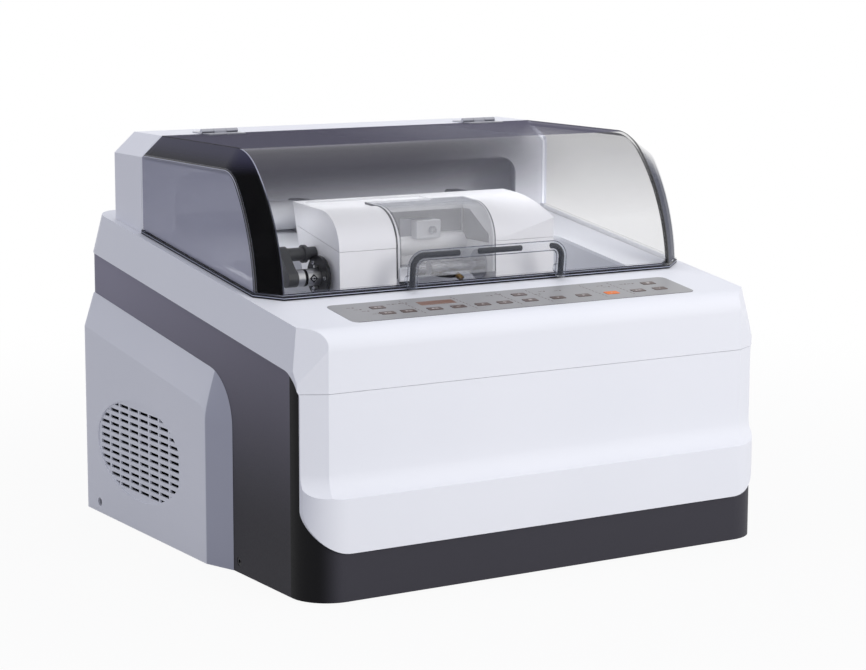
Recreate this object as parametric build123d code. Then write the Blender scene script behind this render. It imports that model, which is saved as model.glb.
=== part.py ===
from build123d import *
from math import atan2, cos, degrees, hypot, pi, radians, sin, tan
import os

# Automatic lens edger: a table-top grinder that shapes spectacle lenses.
# Millimetres. X to the right seen from the front, Y to the back, Z up. The origin is on the
# table, under the middle of the machine. Heights named below count from the housing's lower
# edge, and every piece is lifted by the feet when it is written.

# Housing
foot_proud = 2.5            # rubber feet below the housing's lower edge
body_w = 564.0              # white covers, side to side
body_d = 520.0              # front face to rear face
wall = 3.5                  # moulded wall of covers and housing
cover_proud = 2.5           # white covers stand out from the dark housing
front_corner_r = 42.0       # plan radius of the front corners
rear_corner_r = 25.0
housing_corner_r = 20.0     # the dark housing's own rear corners
cover_foot = 48.5           # lower edge of the front cover
cover_foot_r = 42.0         # its rounded lower corners, seen from the front
cover_edge_in = 4.4         # side edge of the front cover, in from the body's side
parting_z = 205.0           # joint between front cover and top cover
parting_gap = 0.4
deck_mid = 300.0            # height of the sloping deck over the middle of the body
deck_angle = 8.25           # the deck rises to the back
band_drop = 43.8            # dark band's upper edge below the deck
band_r = 27.0               # its bend down into the front edge
bevel_run = 8.0             # side and rear bevels from the band up to the deck
span = 1500.0               # overrun of cutting blocks

# Front cover's set-back panel
panel_half = 253.0
panel_set_back = 14.6
ledge_z = 101.0
ledge_r = 24.0
deck_lip_r = 22.0           # rounding from the deck to the front panel
facet_back = 28.0           # side edge of the cover behind the front face
corner_facet_back = 41.0    # where the corner facet meets the deck crease
corner_facet_drop = 17.0    # facet's upper end on the panel crease, below the deck
corner_facet_rise = 0.0     # facet's lower end above the parting line

# Side covers
side_proud = 12.5           # over the dark housing
side_front = -93.0          # foot of the front bevel
side_top_rear = 248.0       # height of its upper edge at the rear
side_bevel = 38.0           # width of the bevel on the outer face
side_corner_r = 57.0
side_corner_r_out = 19.0
side_rear_in = 4.5          # rear edge from the covers' rear face
side_rear_r = 12.0
side_root = 1.5             # the form is drawn on into the body by this many times its own depth
side_wall = 3.0
side_seat = 0.3
vent_y = 108.0
vent_z = 88.0
vent_w = 212.0
vent_h = 108.0
vent_sink = 1.0
vent_rim = 1.2              # plain edge round the slots
slot_w = 21.6
slot_h = 3.6
slot_pitch_y = 25.0
slot_pitch_z = 8.0
slot_columns = 8
slot_rows = 12
side_screw_r = 4.8
side_screw_z = 12.0
side_screw_in = 47.0        # rear screw from the rear face
front_screw_y = -105.0

# Key pad, laid out in the deck's own plane
pad_w = 421.0
pad_d = 60.6
pad_back = 5.5              # its middle, behind the middle between the front and the lid's foot
pad_r = 8.0
pad_t = 1.2
pad_sink = 1.0
pad_lip = 5.0
pad_gap = 0.2
key_w = 16.4
key_d = 8.6
key_h = 4.2
key_r = 1.2
key_proud = 0.35
key_travel = 0.5
key_gap = 0.3
display_w = 42.0
display_d = 12.5
board_t = 1.6
board_drop = 7.0            # board's upper face below the deck's surface
board_margin = 9.0
standoff_r = 3.5
# Key places as shares of the pad's half width and half depth
key_place_shares = [(-0.762, 0.35), (-0.76, -0.3), (-0.645, -0.3), (-0.498, -0.3), (-0.364, -0.3),
                    (-0.225, -0.3), (-0.098, -0.3), (0.052, 0.4), (0.052, -0.3), (0.217, -0.3),
                    (0.371, -0.3), (0.544, -0.3), (0.708, -0.3), (0.844, 0.4), (0.844, -0.3)]
display_place_shares = (-0.432, 0.36)

# Rear hood and lid share one section
lid_half = 265.0
lid_top = 427.0
lid_chamfer_in = 24.5       # width of the strip between side and top
lid_side_top = 405.0
lid_wall = 3.0
hood_front = 147.0
hood_rear = 218.0
hood_window_half = 224.0
hood_window_top = 384.0
hood_window_r = 20.0
hood_edge_r = 3.0
lid_front = -133.0          # main panel's foot
lid_main_r = 60.0           # first bend of the main panel
lid_main_turn = 45.0
lid_face_r = 196.0          # long bend of the main panel
lid_face_turn = 87.0
lid_side_front = -113.5     # side panel's foot
lid_side_r = 31.5
lid_side_turn = 54.0
lid_side_face_r = 201.0
lid_seam = 0.6              # gap between lid and hood
rim_h = 5.0
rim_w = 6.0
rim_out = 1.2
rim_gap = 0.4

# Lid handle, bent from a clear rod
handle_x = -3.0
handle_w = 196.4
handle_r = 5.6
handle_bend = 13.0
handle_rise = 34.3
handle_lean = 6.0
handle_low = 2.8            # lower ends of the legs above the deck
handle_stand = 7.3          # legs' middle in front of the lid
handle_stub_r = 4.6         # stub behind each leg
handle_stub = 10.9          # its middle above the deck

# Lid hinges
hinge_x = 170.0
hinge_w = 44.0
hinge_r = 2.6
hinge_lift = 2.8            # pin above the lid's top face
hinge_pin_r = 1.2
hinge_plate_t = 1.2
hinge_plate_d = 18.0
hinge_clear = 3.4           # plates keep this far from the pin's line
hinge_gap = 0.3

# Mouth, basin and well
mouth_left = -232.0
mouth_right = 200.0
mouth_front = -120.0
mouth_rear = 30.0
mouth_r = 16.0
basin_wall = 3.0
basin_floor = 236.0
basin_flange = 10.0
well_left = -66.0
well_right = 55.0
well_front = -112.0
well_rear = 0.0
well_floor = 140.0
well_r = 14.0

# Spindle and wheels
spindle_y = -56.0
spindle_z = 197.0
spindle_r = 9.0
wheel_r = 50.0
wheel_left = -46.0
rough_w = 22.0
finish_w = 18.0
wheel_gap = 1.5
bevel_depth = 3.0
housing_r = 28.0
housing_len = 70.0
housing_flange_r = 34.0
housing_flange_t = 6.0
housing_foot_t = 14.0
bearing_len = 12.0
belt_x = 140.0
belt_w = 14.0
belt_t = 3.0
spindle_pulley_r = 24.0
motor_pulley_r = 20.0
pulley_flange = 3.5
motor_y = 70.0
motor_z = 80.0
motor_r = 42.0
motor_left = -20.0
motor_len = 120.0
motor_shaft_r = 7.0
motor_foot_w = 70.0

# Carriage: rail, yoke and screw
rail_y = 72.0
rail_z = 336.0
rail_r = 10.0
screw_y = 114.0
screw_r = 6.0
sleeve_left = -55.0
sleeve_right = 20.0
sleeve_r = 17.0
ear_t = 13.0
yoke_gap = 0.5
yoke_y = 93.0
yoke_t = 9.0
yoke_h = 30.0
nut_r = 11.0
nut_len = 34.0
bracket_t = 12.0
travel_left = 10.0
travel_right = 75.0
bracket_room = 4.0
traverse_motor_r = 16.0
traverse_motor_len = 44.0

# Head: lens-clamping case
head_left = -157.0
head_right = 110.0
bay_left = -89.0
bay_right = 35.0
head_front = -99.0
head_front_mid = -98.0      # front face at the case's parting line
head_bottom = 277.0
head_bottom_rear_y = -20.0
head_bottom_rear_z = 287.0
head_bottom_flat = -58.0
head_rear_top_y = 2.0
head_top_rear = 364.0
head_top_front = 358.5
head_nose_r = 40.0
head_part_front = 320.0
head_part_rear = 339.5
head_part_rear_y = -5.0
head_part_gap = 0.5
head_wall = 3.0
bay_depth_y = -32.0         # back of the bay's opening
head_arm_knee_z = 320.0     # underside of the arms over the mouth's rear edge
arm_w = 12.0
end_slope_rear_y = -26.0    # right end's sloping top: its rear end, a point on it, its front end
end_slope_rear_z = 362.4
end_slope_mid_y = -68.0
end_slope_mid_z = 353.6
end_slope_front_z = 341.5
dish_left_in = 7.0          # shallow dish in the case's top, from its left end
dish_right = -6.0
dish_front_y = -56.0
dish_rear_y = -7.0
dish_depth = 1.6
lens_y = -66.0
lens_z = 292.0
lens_shaft_r = 6.0
boss_r = 11.0
boss_len = 7.0
lay_y = -30.0
lay_z = 313.0
lay_tube_r = 11.0
lay_shaft_r = 5.0
lens_pulley_r = 9.0
lens_belt_t = 1.5
lens_belt_w = 8.0
lens_belt_x_left = -108.0
lens_belt_x_right = 70.0
lens_motor_r = 12.5
lens_motor_len = 30.0
chuck_r = 7.6
chuck_len = 13.5
lens_plane = -33.0
lens_gap = 7.0
clamp_travel = 14.0
slinger_r = 16.5
slinger_t = 2.0
guard_t = 2.5
guard_rise = 0.6

# Pattern side, at the left end of the lens shaft
flange_stand = 4.5          # flange's gap to the head
flange_t = 4.0
flange_r = 22.0
pattern_pin_r = 1.5
pattern_pin_len = 4.0
pattern_pin_out = 11.0
coupling_len = 18.0
coupling_r = 9.0
collar_r = 9.0
collar_len = 8.5
arm_t = 11.0
arm_half = 9.0
post_up = 22.0
post_back = 21.0
post_r = 7.0
post_disc_r = 9.5
post_disc_t = 3.5
post_disc_gap = 3.0         # disc to the left of the flange

# Base, rear panel and services
tray_t = 3.0
tray_rib_h = 14.0
tray_rib_t = 4.0
foot_r = 15.0
foot_in = 46.0
foot_stem_r = 4.0
rear_half = 190.0
rear_low = 25.0
rear_high = 185.0
rear_sink = 11.0
rear_flange = 8.0
panel_t = 3.0
fan_x = -120.0
fan_z = 110.0
fan_size = 80.0
fan_t = 25.0
fan_hole_r = 37.0
fan_hub_r = 14.0
fan_blades = 7
blade_t = 1.6
blade_lean = 32.0
fan_tip_gap = 2.0
grille_ring_w = 3.0
grille_rings = 3
inlet_x = 110.0
inlet_z = 70.0
inlet_w = 27.0
inlet_h = 20.0
inlet_depth = 22.0
inlet_rim = 2.0
switch_x = 155.0
switch_w = 18.0
switch_h = 24.0
switch_depth = 8.0
switch_swing_gap = 1.0
drain_x = -45.0
drain_z = 55.0
drain_r = 12.0
drain_bore = 9.0
drain_bend = 30.0
feed_x = 20.0
feed_z = 160.0
feed_r = 6.0
feed_bore = 3.5
spigot_len = 12.0
drain_spigot_r = 11.0       # both pipes step down outside the panel
feed_spigot_r = 5.4

# Fits
fit = 0.05                  # running clearance on a radius
seat = 0.2                  # clearance between fixed pieces
gap = 0.3                   # clearance between pieces that move apart

half_w = body_w / 2
half_d = body_d / 2
slope = tan(radians(deck_angle))
edge_half = half_w - cover_edge_in
edge_y = facet_back - half_d
panel_y = panel_set_back - half_d
pad_y = (lid_front - half_d) / 2 + pad_back
rear_in = half_d - cover_proud - wall
belt_reach = lens_pulley_r + gap + lens_belt_t
deck_plane = Plane(origin=(0, 0, deck_mid), x_dir=(1, 0, 0),
                   z_dir=(0, -sin(radians(deck_angle)), cos(radians(deck_angle))))


def deck_z(y):
    """Height of the deck's upper surface."""
    return deck_mid + slope * y


def band_z(y):
    """Height of the dark band's upper edge."""
    return deck_z(y) - band_drop


def save(name, shape):
    """Lift a piece by the feet and write it."""
    if isinstance(shape, (list, tuple, ShapeList)):
        shape = Compound(children=[Pos(0, 0, foot_proud) * solid for solid in shape])
    else:
        shape = Pos(0, 0, foot_proud) * shape
    shape.label = name
    export_step(shape, "parts/" + name + ".step")


def solids_of(*shapes):
    """Loose solids of several shapes, for a node that is a group."""
    return [solid for shape in shapes for solid in shape.solids()]


def block(x0, x1, y0, y1, z0, z1):
    """A box between two corners."""
    return Pos((x0 + x1) / 2, (y0 + y1) / 2, (z0 + z1) / 2) * Box(x1 - x0, y1 - y0, z1 - z0)


def rod(x0, x1, y, z, r):
    """A round bar along X."""
    return Pos((x0 + x1) / 2, y, z) * Rot(0, 90, 0) * Cylinder(r, x1 - x0)


def rod_y(y0, y1, x, z, r):
    """A round bar along Y."""
    return Pos(x, (y0 + y1) / 2, z) * Rot(90, 0, 0) * Cylinder(r, y1 - y0)


def rod_z(z0, z1, x, y, r):
    """A round bar along Z."""
    return Pos(x, y, (z0 + z1) / 2) * Cylinder(r, z1 - z0)


def prism_x(face, x0, x1):
    """A profile drawn in Y and Z, pulled from x0 to x1."""
    return Pos(x0, 0, 0) * extrude(Plane.YZ * face, amount=x1 - x0)


def prism_y(face, y0, y1):
    """A profile drawn in X and Z, pulled from y0 to y1."""
    return Pos(0, y1, 0) * extrude(Plane.XZ * face, amount=y1 - y0)


def prism_z(face, z0, z1):
    """A plan outline pulled from z0 to z1."""
    return Pos(0, 0, z0) * extrude(face, amount=z1 - z0)


def outline(points, rounds=()):
    """A closed outline, with a radius at each listed corner."""
    face = make_face(Polyline(*points, close=True).edges())
    for point, radius in rounds:
        corner = face.vertices().sort_by_distance(Vector(*point))[0]
        face = fillet(corner, radius)
    return face


def plan_box(x0, x1, y0, y1, r):
    """A plan rectangle with round corners."""
    return Pos((x0 + x1) / 2, (y0 + y1) / 2) * RectangleRounded(x1 - x0, y1 - y0, r)


def beyond(plane, inset):
    """All that lies outside a plane, with the plane drawn in by the inset."""
    return plane.offset(-inset) * Box(span, span, span, align=(Align.CENTER, Align.CENTER, Align.MIN))


def both_sides(shape):
    """A shape and its mirror image across the machine."""
    return shape + mirror(shape, Plane.YZ)


def belt_loop(x, w, ends, t):
    """A flat belt round two pulleys, each given as y, z and running radius."""
    def hull(grow):
        rings = [Pos(y, z) * Circle(r + grow) for y, z, r in ends]
        return make_hull(rings[0].edges() + rings[1].edges())
    return prism_x(hull(t) - hull(0), x - w / 2, x + w / 2)


# White covers
def plan_outline(inset, rear_r):
    """The body's outline from above, drawn in by the inset."""
    face = Rectangle(body_w - 2 * inset, body_d - 2 * inset)
    face = fillet(face.vertices().group_by(Axis.Y)[0], front_corner_r - inset)
    return fillet(face.vertices().group_by(Axis.Y)[-1], rear_r - inset)


def front_cutter(inset):
    """What is taken off in front of a set-back face, with the hollow round at its foot."""
    cutter = Box(span, span, span, align=(Align.CENTER, Align.MAX, Align.MIN))
    foot = cutter.edges().filter_by(Axis.X).group_by(Axis.Y)[-1].sort_by(Axis.Z)[0]
    return Pos(0, inset, ledge_z - inset) * fillet(foot, ledge_r + inset)


def cover_form(inset):
    """Outer form of the white covers, drawn in by the inset."""
    form = prism_z(plan_outline(inset, rear_corner_r), 0, lid_top)
    form -= beyond(deck_plane, inset)
    form -= Pos(0, panel_y, 0) * front_cutter(inset)
    lip = form.edges().filter_by(Axis.X).sort_by_distance(Vector(0, panel_y, deck_z(panel_y)))[0]
    form = fillet(lip, deck_lip_r - inset)
    facet_turn = degrees(atan2(edge_y - panel_y, edge_half - panel_half))
    facet = Pos(panel_half, panel_y, 0) * Rot(0, 0, facet_turn) * front_cutter(inset)
    along = Vector(0, cos(radians(deck_angle)), sin(radians(deck_angle)))
    bevel_normal = along.cross(Vector(-bevel_run, 0, band_drop))
    bevel = beyond(Plane(origin=(half_w, 0, band_z(0)), x_dir=along, z_dir=bevel_normal), inset)
    top_y = corner_facet_back - half_d
    top = Vector(half_w - bevel_run, top_y, deck_z(top_y))
    crease = Vector(panel_half, panel_y, deck_z(panel_y) - corner_facet_drop)
    foot = Vector(half_w, edge_y, parting_z + corner_facet_rise)
    corner_normal = (foot - top).cross(crease - top)
    if corner_normal.X < 0:
        corner_normal = -corner_normal
    corner = beyond(Plane(origin=top, x_dir=crease - top, z_dir=corner_normal), inset)
    rear_normal = Vector(0, band_drop, bevel_run)
    form -= beyond(Plane(origin=(0, half_d, band_z(half_d)), x_dir=(1, 0, 0), z_dir=rear_normal), inset)
    rounding = corner_rounding(bevel_normal.normalized(), rear_normal.normalized(), inset)
    for tool in (facet, bevel, corner, rounding):
        form -= tool
        form -= mirror(tool, Plane.YZ)
    return form


def corner_rounding(side_normal, rear_normal, inset):
    """What rounding the edge between the side and rear bevels takes off, on the right."""
    radius = rear_corner_r - inset
    edge = side_normal.cross(rear_normal).normalized()
    spread = 1 + side_normal.dot(rear_normal)
    reach = (side_normal + rear_normal) * (radius / spread)
    corner = Vector(half_w, half_d, band_z(half_d)) - (side_normal + rear_normal) * (inset / spread)
    middle = corner - reach
    over = wall + bevel_run
    wedge = make_face(Polyline(middle, middle + side_normal * (radius + over), corner + reach * (over / radius),
                               middle + rear_normal * (radius + over), close=True).edges())
    wedge = extrude(wedge, amount=band_drop + over, both=True, dir=edge)
    core = Plane(origin=middle, z_dir=edge) * Cylinder(radius, span)
    return wedge - core


def cover_zone():
    """The space of the white covers: in front of their side edges and above the dark band."""
    front = outline([(-edge_half, cover_foot), (edge_half, cover_foot), (edge_half, lid_top),
                     (-edge_half, lid_top)],
                    [((-edge_half, cover_foot), cover_foot_r), ((edge_half, cover_foot), cover_foot_r)])
    front_zone = prism_y(front, -body_d, edge_y + 2 * wall)
    bend = (edge_y, band_z(edge_y))
    side = outline([(-body_d, parting_z - band_r), (edge_y, parting_z - band_r), bend,
                    (body_d, band_z(body_d)), (body_d, lid_top), (-body_d, lid_top)], [(bend, band_r)])
    return front_zone + prism_x(side, -body_w, body_w)


def pad_frame():
    """The deck's own plane, under the middle of the key pad."""
    return Plane(origin=(0, pad_y, deck_z(pad_y)), x_dir=(1, 0, 0), z_dir=deck_plane.z_dir)


def on_pad(shares):
    """A place on the key pad from its shares."""
    return Pos(shares[0] * pad_w / 2, shares[1] * pad_d / 2, 0)


def make_covers():
    skin = (cover_form(0) - cover_form(wall)) & cover_zone()
    middle = parting_z
    lower = block(-body_w, body_w, -body_d, body_d, 0, middle - parting_gap)
    upper = block(-body_w, body_w, -body_d, body_d, middle, lid_top)
    front_panel = skin & lower
    top_cover = skin & upper
    mouth = plan_box(mouth_left, mouth_right, mouth_front, mouth_rear, mouth_r)
    top_cover -= prism_z(mouth, parting_z, lid_top)
    recess = extrude(RectangleRounded(pad_w + 2 * pad_gap, pad_d + 2 * pad_gap, pad_r + pad_gap), amount=-pad_sink)
    window = extrude(Rectangle(pad_w - 2 * pad_lip, pad_d - 2 * pad_lip), amount=-2 * wall)
    top_cover -= pad_frame() * (recess + window)
    save("front_panel", front_panel)
    save("top_cover", top_cover)


def make_housing():
    """Dark lower body: walls all round below the white covers."""
    outer = prism_z(plan_outline(cover_proud, housing_corner_r), 0, lid_top)
    inner = prism_z(plan_outline(cover_proud + wall, housing_corner_r), -wall, lid_top + wall)
    body = (outer - inner) - cover_zone()
    rear_hole = block(-rear_half, rear_half, 0, body_d, rear_low, rear_high)
    body -= rear_hole
    for side in (-1, 1):
        vent = Pos(vent_y, vent_z) * Ellipse(vent_w / 2, vent_h / 2)
        body -= prism_x(vent, min(0, side * body_w), max(0, side * body_w))
        body -= rod(min(0, side * body_w), max(0, side * body_w), front_screw_y, side_screw_z, side_screw_r)
    save("lower_body", body)


# Side covers
def side_outline(inset, out):
    """Side cover's outline in Y and Z at one depth: 0 at the body, 1 at the outer face."""
    front = side_front + out * side_bevel + inset
    rear = half_d - side_rear_in - inset
    top_rear = side_top_rear - out * side_bevel - inset
    top_front = top_rear - slope * (rear - front)
    corner_r = side_corner_r + out * (side_corner_r_out - side_corner_r) - inset
    return outline([(front, 0), (rear, 0), (rear, top_rear), (front, top_front)],
                   [((front, top_front), corner_r)])


def side_form(inset, root_x, face_x):
    """Side cover's bevelled form between the body and a face, its rear edges rounded."""
    depth = face_x - root_x
    form = loft([Plane.YZ.offset(root_x - side_root * depth) * side_outline(inset, -side_root),
                 Plane.YZ.offset(face_x) * side_outline(inset, 1)], ruled=True)
    rear_edges = form.edges().filter_by(lambda e: all(v.Y > half_d - side_rear_in - inset - fit for v in e.vertices())
                                        and e.center().X > root_x - side_root * depth + side_wall
                                        and e.center().Z > side_wall)
    return fillet(rear_edges, side_rear_r - inset)


def make_side_cover():
    """One side cover on the right, hollow behind, with its oval of slots."""
    foot_x = half_w - cover_proud
    face_x = foot_x + side_proud
    cover = side_form(0, foot_x + side_seat, face_x) - side_form(side_wall, foot_x, face_x - side_wall)
    cover &= block(foot_x + side_seat, face_x, -half_d, half_d, 0, side_top_rear)
    oval = Pos(vent_y, vent_z) * Ellipse(vent_w / 2, vent_h / 2)
    cover -= prism_x(oval, face_x - vent_sink, face_x + side_proud)
    slots = Sketch()
    for row in range(slot_rows):
        for column in range(slot_columns):
            y = vent_y + (column - (slot_columns - 1) / 2) * slot_pitch_y
            z = vent_z + (row - (slot_rows - 1) / 2) * slot_pitch_z
            slots += Pos(y, z) * Rectangle(slot_w, slot_h)
    slots &= Pos(vent_y, vent_z) * Ellipse(vent_w / 2 - vent_rim, vent_h / 2 - vent_rim)
    cover -= prism_x(slots, foot_x, face_x + side_proud)
    cover -= rod(foot_x, face_x + side_proud, half_d - side_screw_in, side_screw_z, side_screw_r)
    return cover


def make_side_covers():
    cover = make_side_cover()
    save("side_cover_right", cover)
    save("side_cover_left", mirror(cover, Plane.YZ))


# Rear hood
def hood_section(inset):
    """Section of hood and lid across the machine."""
    side = lid_half - inset
    top = lid_top - inset
    top_half = lid_half - lid_chamfer_in - inset / 2
    side_top = lid_side_top - inset / 2
    return outline([(-side, parting_z), (side, parting_z), (side, side_top), (top_half, top),
                    (-top_half, top), (-side, side_top)])


def make_hood():
    outer = prism_y(hood_section(0), hood_front, hood_rear)
    rear_edges = outer.edges().group_by(Axis.Y)[-1].filter_by(lambda e: e.center().Z > parting_z)
    outer = fillet(rear_edges, hood_edge_r)
    hood = outer - prism_y(hood_section(lid_wall), hood_front + lid_wall, hood_rear - lid_wall)
    window = outline([(-hood_window_half, parting_z), (hood_window_half, parting_z),
                      (hood_window_half, hood_window_top), (-hood_window_half, hood_window_top)],
                     [((hood_window_half, hood_window_top), hood_window_r),
                      ((-hood_window_half, hood_window_top), hood_window_r)])
    hood -= prism_y(window, hood_front - lid_wall, hood_front + 2 * lid_wall)
    under = deck_plane.offset(seat) * Box(span, span, span, align=(Align.CENTER, Align.CENTER, Align.MAX))
    save("rear_hood", hood - under)


# Lid
def lid_profile(top, front, first_r, first_turn, face_r, face_turn):
    """Side profile: level top, a tight bend, then a long bend down to the foot."""
    a, b = radians(first_turn), radians(face_turn)
    first_drop = first_r * (1 - cos(a))
    face_drop = face_r * (cos(a) - cos(b))
    face_y = front + face_r * (sin(b) - sin(a))
    first_y = face_y + first_r * sin(a)
    start = (first_y, top)
    middle = (face_y, top - first_drop)
    end = (front, top - first_drop - face_drop)
    rear = hood_front - lid_seam
    top_line = Line((rear, top), start)
    bend = TangentArc(start, middle, tangent=(-1, 0))
    face = TangentArc(middle, end, tangent=(-cos(a), -sin(a)))
    foot = Polyline(end, (front, parting_z), (rear, parting_z), (rear, top))
    return make_face([top_line, bend, face] + list(foot.edges()))


def main_profile(inset):
    return lid_profile(lid_top - inset, lid_front + inset, lid_main_r - inset, lid_main_turn,
                       lid_face_r - inset, lid_face_turn)


def side_profile(inset):
    return lid_profile(lid_side_top - inset, lid_side_front + inset, lid_side_r - inset, lid_side_turn,
                       lid_side_face_r - inset, lid_face_turn)


def lid_form(inset):
    """The lid's outer form, drawn in by the inset."""
    top_half = lid_half - lid_chamfer_in - inset / 2
    side = lid_half - inset
    middle = prism_x(main_profile(inset), -top_half, top_half)
    cheek = loft([Plane.YZ.offset(top_half) * main_profile(inset),
                  Plane.YZ.offset(side) * side_profile(inset)], ruled=True)
    return middle + both_sides(cheek)


def rim_outline(grow):
    """The lid's foot seen from above, with its cut corners."""
    top_half = lid_half - lid_chamfer_in
    return outline([(lid_half + grow, hood_front - lid_seam), (lid_half + grow, lid_side_front - grow / 2),
                    (top_half + grow / 2, lid_front - grow), (-top_half - grow / 2, lid_front - grow),
                    (-lid_half - grow, lid_side_front - grow / 2), (-lid_half - grow, hood_front - lid_seam)])


def make_lid():
    shell = lid_form(0) - lid_form(lid_wall)
    open_rear = block(-span / 2, span / 2, hood_front - lid_seam, span, 0, span)
    foot = deck_plane.offset(rim_gap + rim_h) * Box(span, span, span,
                                                    align=(Align.CENTER, Align.CENTER, Align.MAX))
    inner_rear = prism_y(lid_rear_section(), hood_front - 2 * lid_wall, hood_front)
    save("lid_shell", shell - open_rear - foot - inner_rear)
    ring = rim_outline(rim_out) - Pos(0, lid_wall) * rim_outline(-rim_w)
    cut_rear = rim_w + lid_wall
    ring -= Pos(0, hood_front) * Rectangle(2 * (lid_half - rim_w), 2 * cut_rear)
    strip = prism_z(ring, parting_z, lid_top)
    strip -= foot_below(rim_gap)
    strip -= beyond(deck_plane, -(rim_gap + rim_h))
    save("lid_rim", strip)
    save("lid_handle", make_handle())


def foot_below(lift):
    """All that lies under the deck's surface, lifted by the gap."""
    return deck_plane.offset(lift) * Box(span, span, span, align=(Align.CENTER, Align.CENTER, Align.MAX))


def lid_rear_section():
    """Opening at the lid's rear end, inside its walls."""
    side = lid_half - lid_wall
    top = lid_top - lid_wall
    top_half = lid_half - lid_chamfer_in - lid_wall / 2
    side_top = lid_side_top - lid_wall
    return outline([(-side, parting_z), (side, parting_z), (side, side_top), (top_half, top),
                    (-top_half, top), (-side, side_top)])


def make_handle():
    """A clear rod bent to a wide U, with a stub behind each leg that holds it to the lid's front."""
    lean = radians(handle_lean)
    base_z = deck_z(lid_front) + handle_low
    base_y = lid_front - handle_stand
    half = handle_w / 2 - handle_r
    top_y = base_y - handle_rise * sin(lean)
    top_z = base_z + handle_rise * cos(lean)
    path = FilletPolyline((-half, base_y, base_z), (-half, top_y, top_z), (half, top_y, top_z),
                          (half, base_y, base_z), radius=handle_bend)
    start = Plane(origin=path @ 0, z_dir=path % 0)
    bar = sweep(start * Circle(handle_r), path=path)
    stub_z = deck_z(lid_front) + handle_stub
    for side in (-1, 1):
        bar += rod_y(base_y, lid_front + lid_wall, side * half, stub_z, handle_stub_r)
    return Pos(handle_x, 0, 0) * bar - lid_form(0)


# Hinges
def hinge_set(x):
    """One hinge: the hood's leaf, its pin and the lid's leaf."""
    pin_z = lid_top + hinge_lift
    third = hinge_w / 3
    x0, x1 = x - hinge_w / 2, x + hinge_w / 2
    low = lid_top + seat / 2
    fixed = block(x0, x1, hood_front + hinge_clear, hood_front + hinge_clear + hinge_plate_d,
                  low, low + hinge_plate_t)
    moving = block(x0, x1, hood_front - hinge_clear - hinge_plate_d, hood_front - hinge_clear,
                   low, low + hinge_plate_t)
    for a, b in ((x0, x0 + third - hinge_gap), (x1 - third + hinge_gap, x1)):
        fixed += block(a, b, hood_front, hood_front + hinge_clear, low, pin_z)
        fixed += rod(a, b, hood_front, pin_z, hinge_r)
    a, b = x0 + third, x1 - third
    moving += block(a, b, hood_front - hinge_clear, hood_front, low, pin_z)
    moving += rod(a, b, hood_front, pin_z, hinge_r)
    fixed -= rod(x0, x1, hood_front, pin_z, hinge_pin_r + fit / 2)
    moving -= rod(x0, x1, hood_front, pin_z, hinge_pin_r + fit)
    pin = rod(x0, x1, hood_front, pin_z, hinge_pin_r)
    return fixed, pin, moving


def make_hinges():
    fixed, moving = [], []
    for x in (-hinge_x, hinge_x):
        leaf, pin, lid_leaf = hinge_set(x)
        fixed += solids_of(leaf, pin)
        moving += solids_of(lid_leaf)
    save("hood_hinge_leaves", fixed)
    save("lid_hinge_leaves", moving)


# Key pad
def make_pad():
    frame = pad_frame()
    sheet = Pos(0, 0, -pad_sink) * extrude(RectangleRounded(pad_w, pad_d, pad_r), amount=pad_t)
    for shares in key_place_shares:
        hole = RectangleRounded(key_w + 2 * key_gap, key_d + 2 * key_gap, key_r + key_gap)
        sheet -= on_pad(shares) * Pos(0, 0, -2 * pad_sink) * extrude(hole, amount=2 * pad_t + pad_sink)
    glass = Rectangle(display_w + 2 * pad_gap, display_d + 2 * pad_gap)
    sheet -= on_pad(display_place_shares) * Pos(0, 0, -2 * pad_sink) * extrude(glass, amount=2 * pad_t + pad_sink)
    save("keypad_overlay", frame * sheet)
    top = pad_t - pad_sink + key_proud
    for number, shares in enumerate(key_place_shares, start=1):
        cap = Pos(0, 0, top - key_h) * extrude(RectangleRounded(key_w, key_d, key_r), amount=key_h)
        save("key_%02d" % number, frame * on_pad(shares) * cap)
    board_w = pad_w - 2 * pad_lip + 2 * board_margin
    board_d = pad_d - 2 * pad_lip + 2 * board_margin
    board = Pos(0, 0, -board_drop - board_t) * extrude(Rectangle(board_w, board_d), amount=board_t)
    dome_h = board_drop + top - key_h - key_travel - key_gap
    for shares in key_place_shares:
        dome = extrude(Rectangle(key_w / 2, key_d / 2), amount=dome_h)
        board += on_pad(shares) * Pos(0, 0, -board_drop) * dome
    for x in (-1, 1):
        for y in (-1, 1):
            post = extrude(Circle(standoff_r), amount=board_drop - wall - seat / 2)
            inset = board_margin / 2
            board += Pos(x * (board_w / 2 - inset), y * (board_d / 2 - inset), -board_drop) * post
    display_h = board_drop - pad_sink + pad_t
    window = Pos(0, 0, -board_drop + fit) * extrude(Rectangle(display_w, display_d), amount=display_h - fit)
    group = solids_of(frame * board, frame * on_pad(display_place_shares) * window)
    save("control_board", group)


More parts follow.
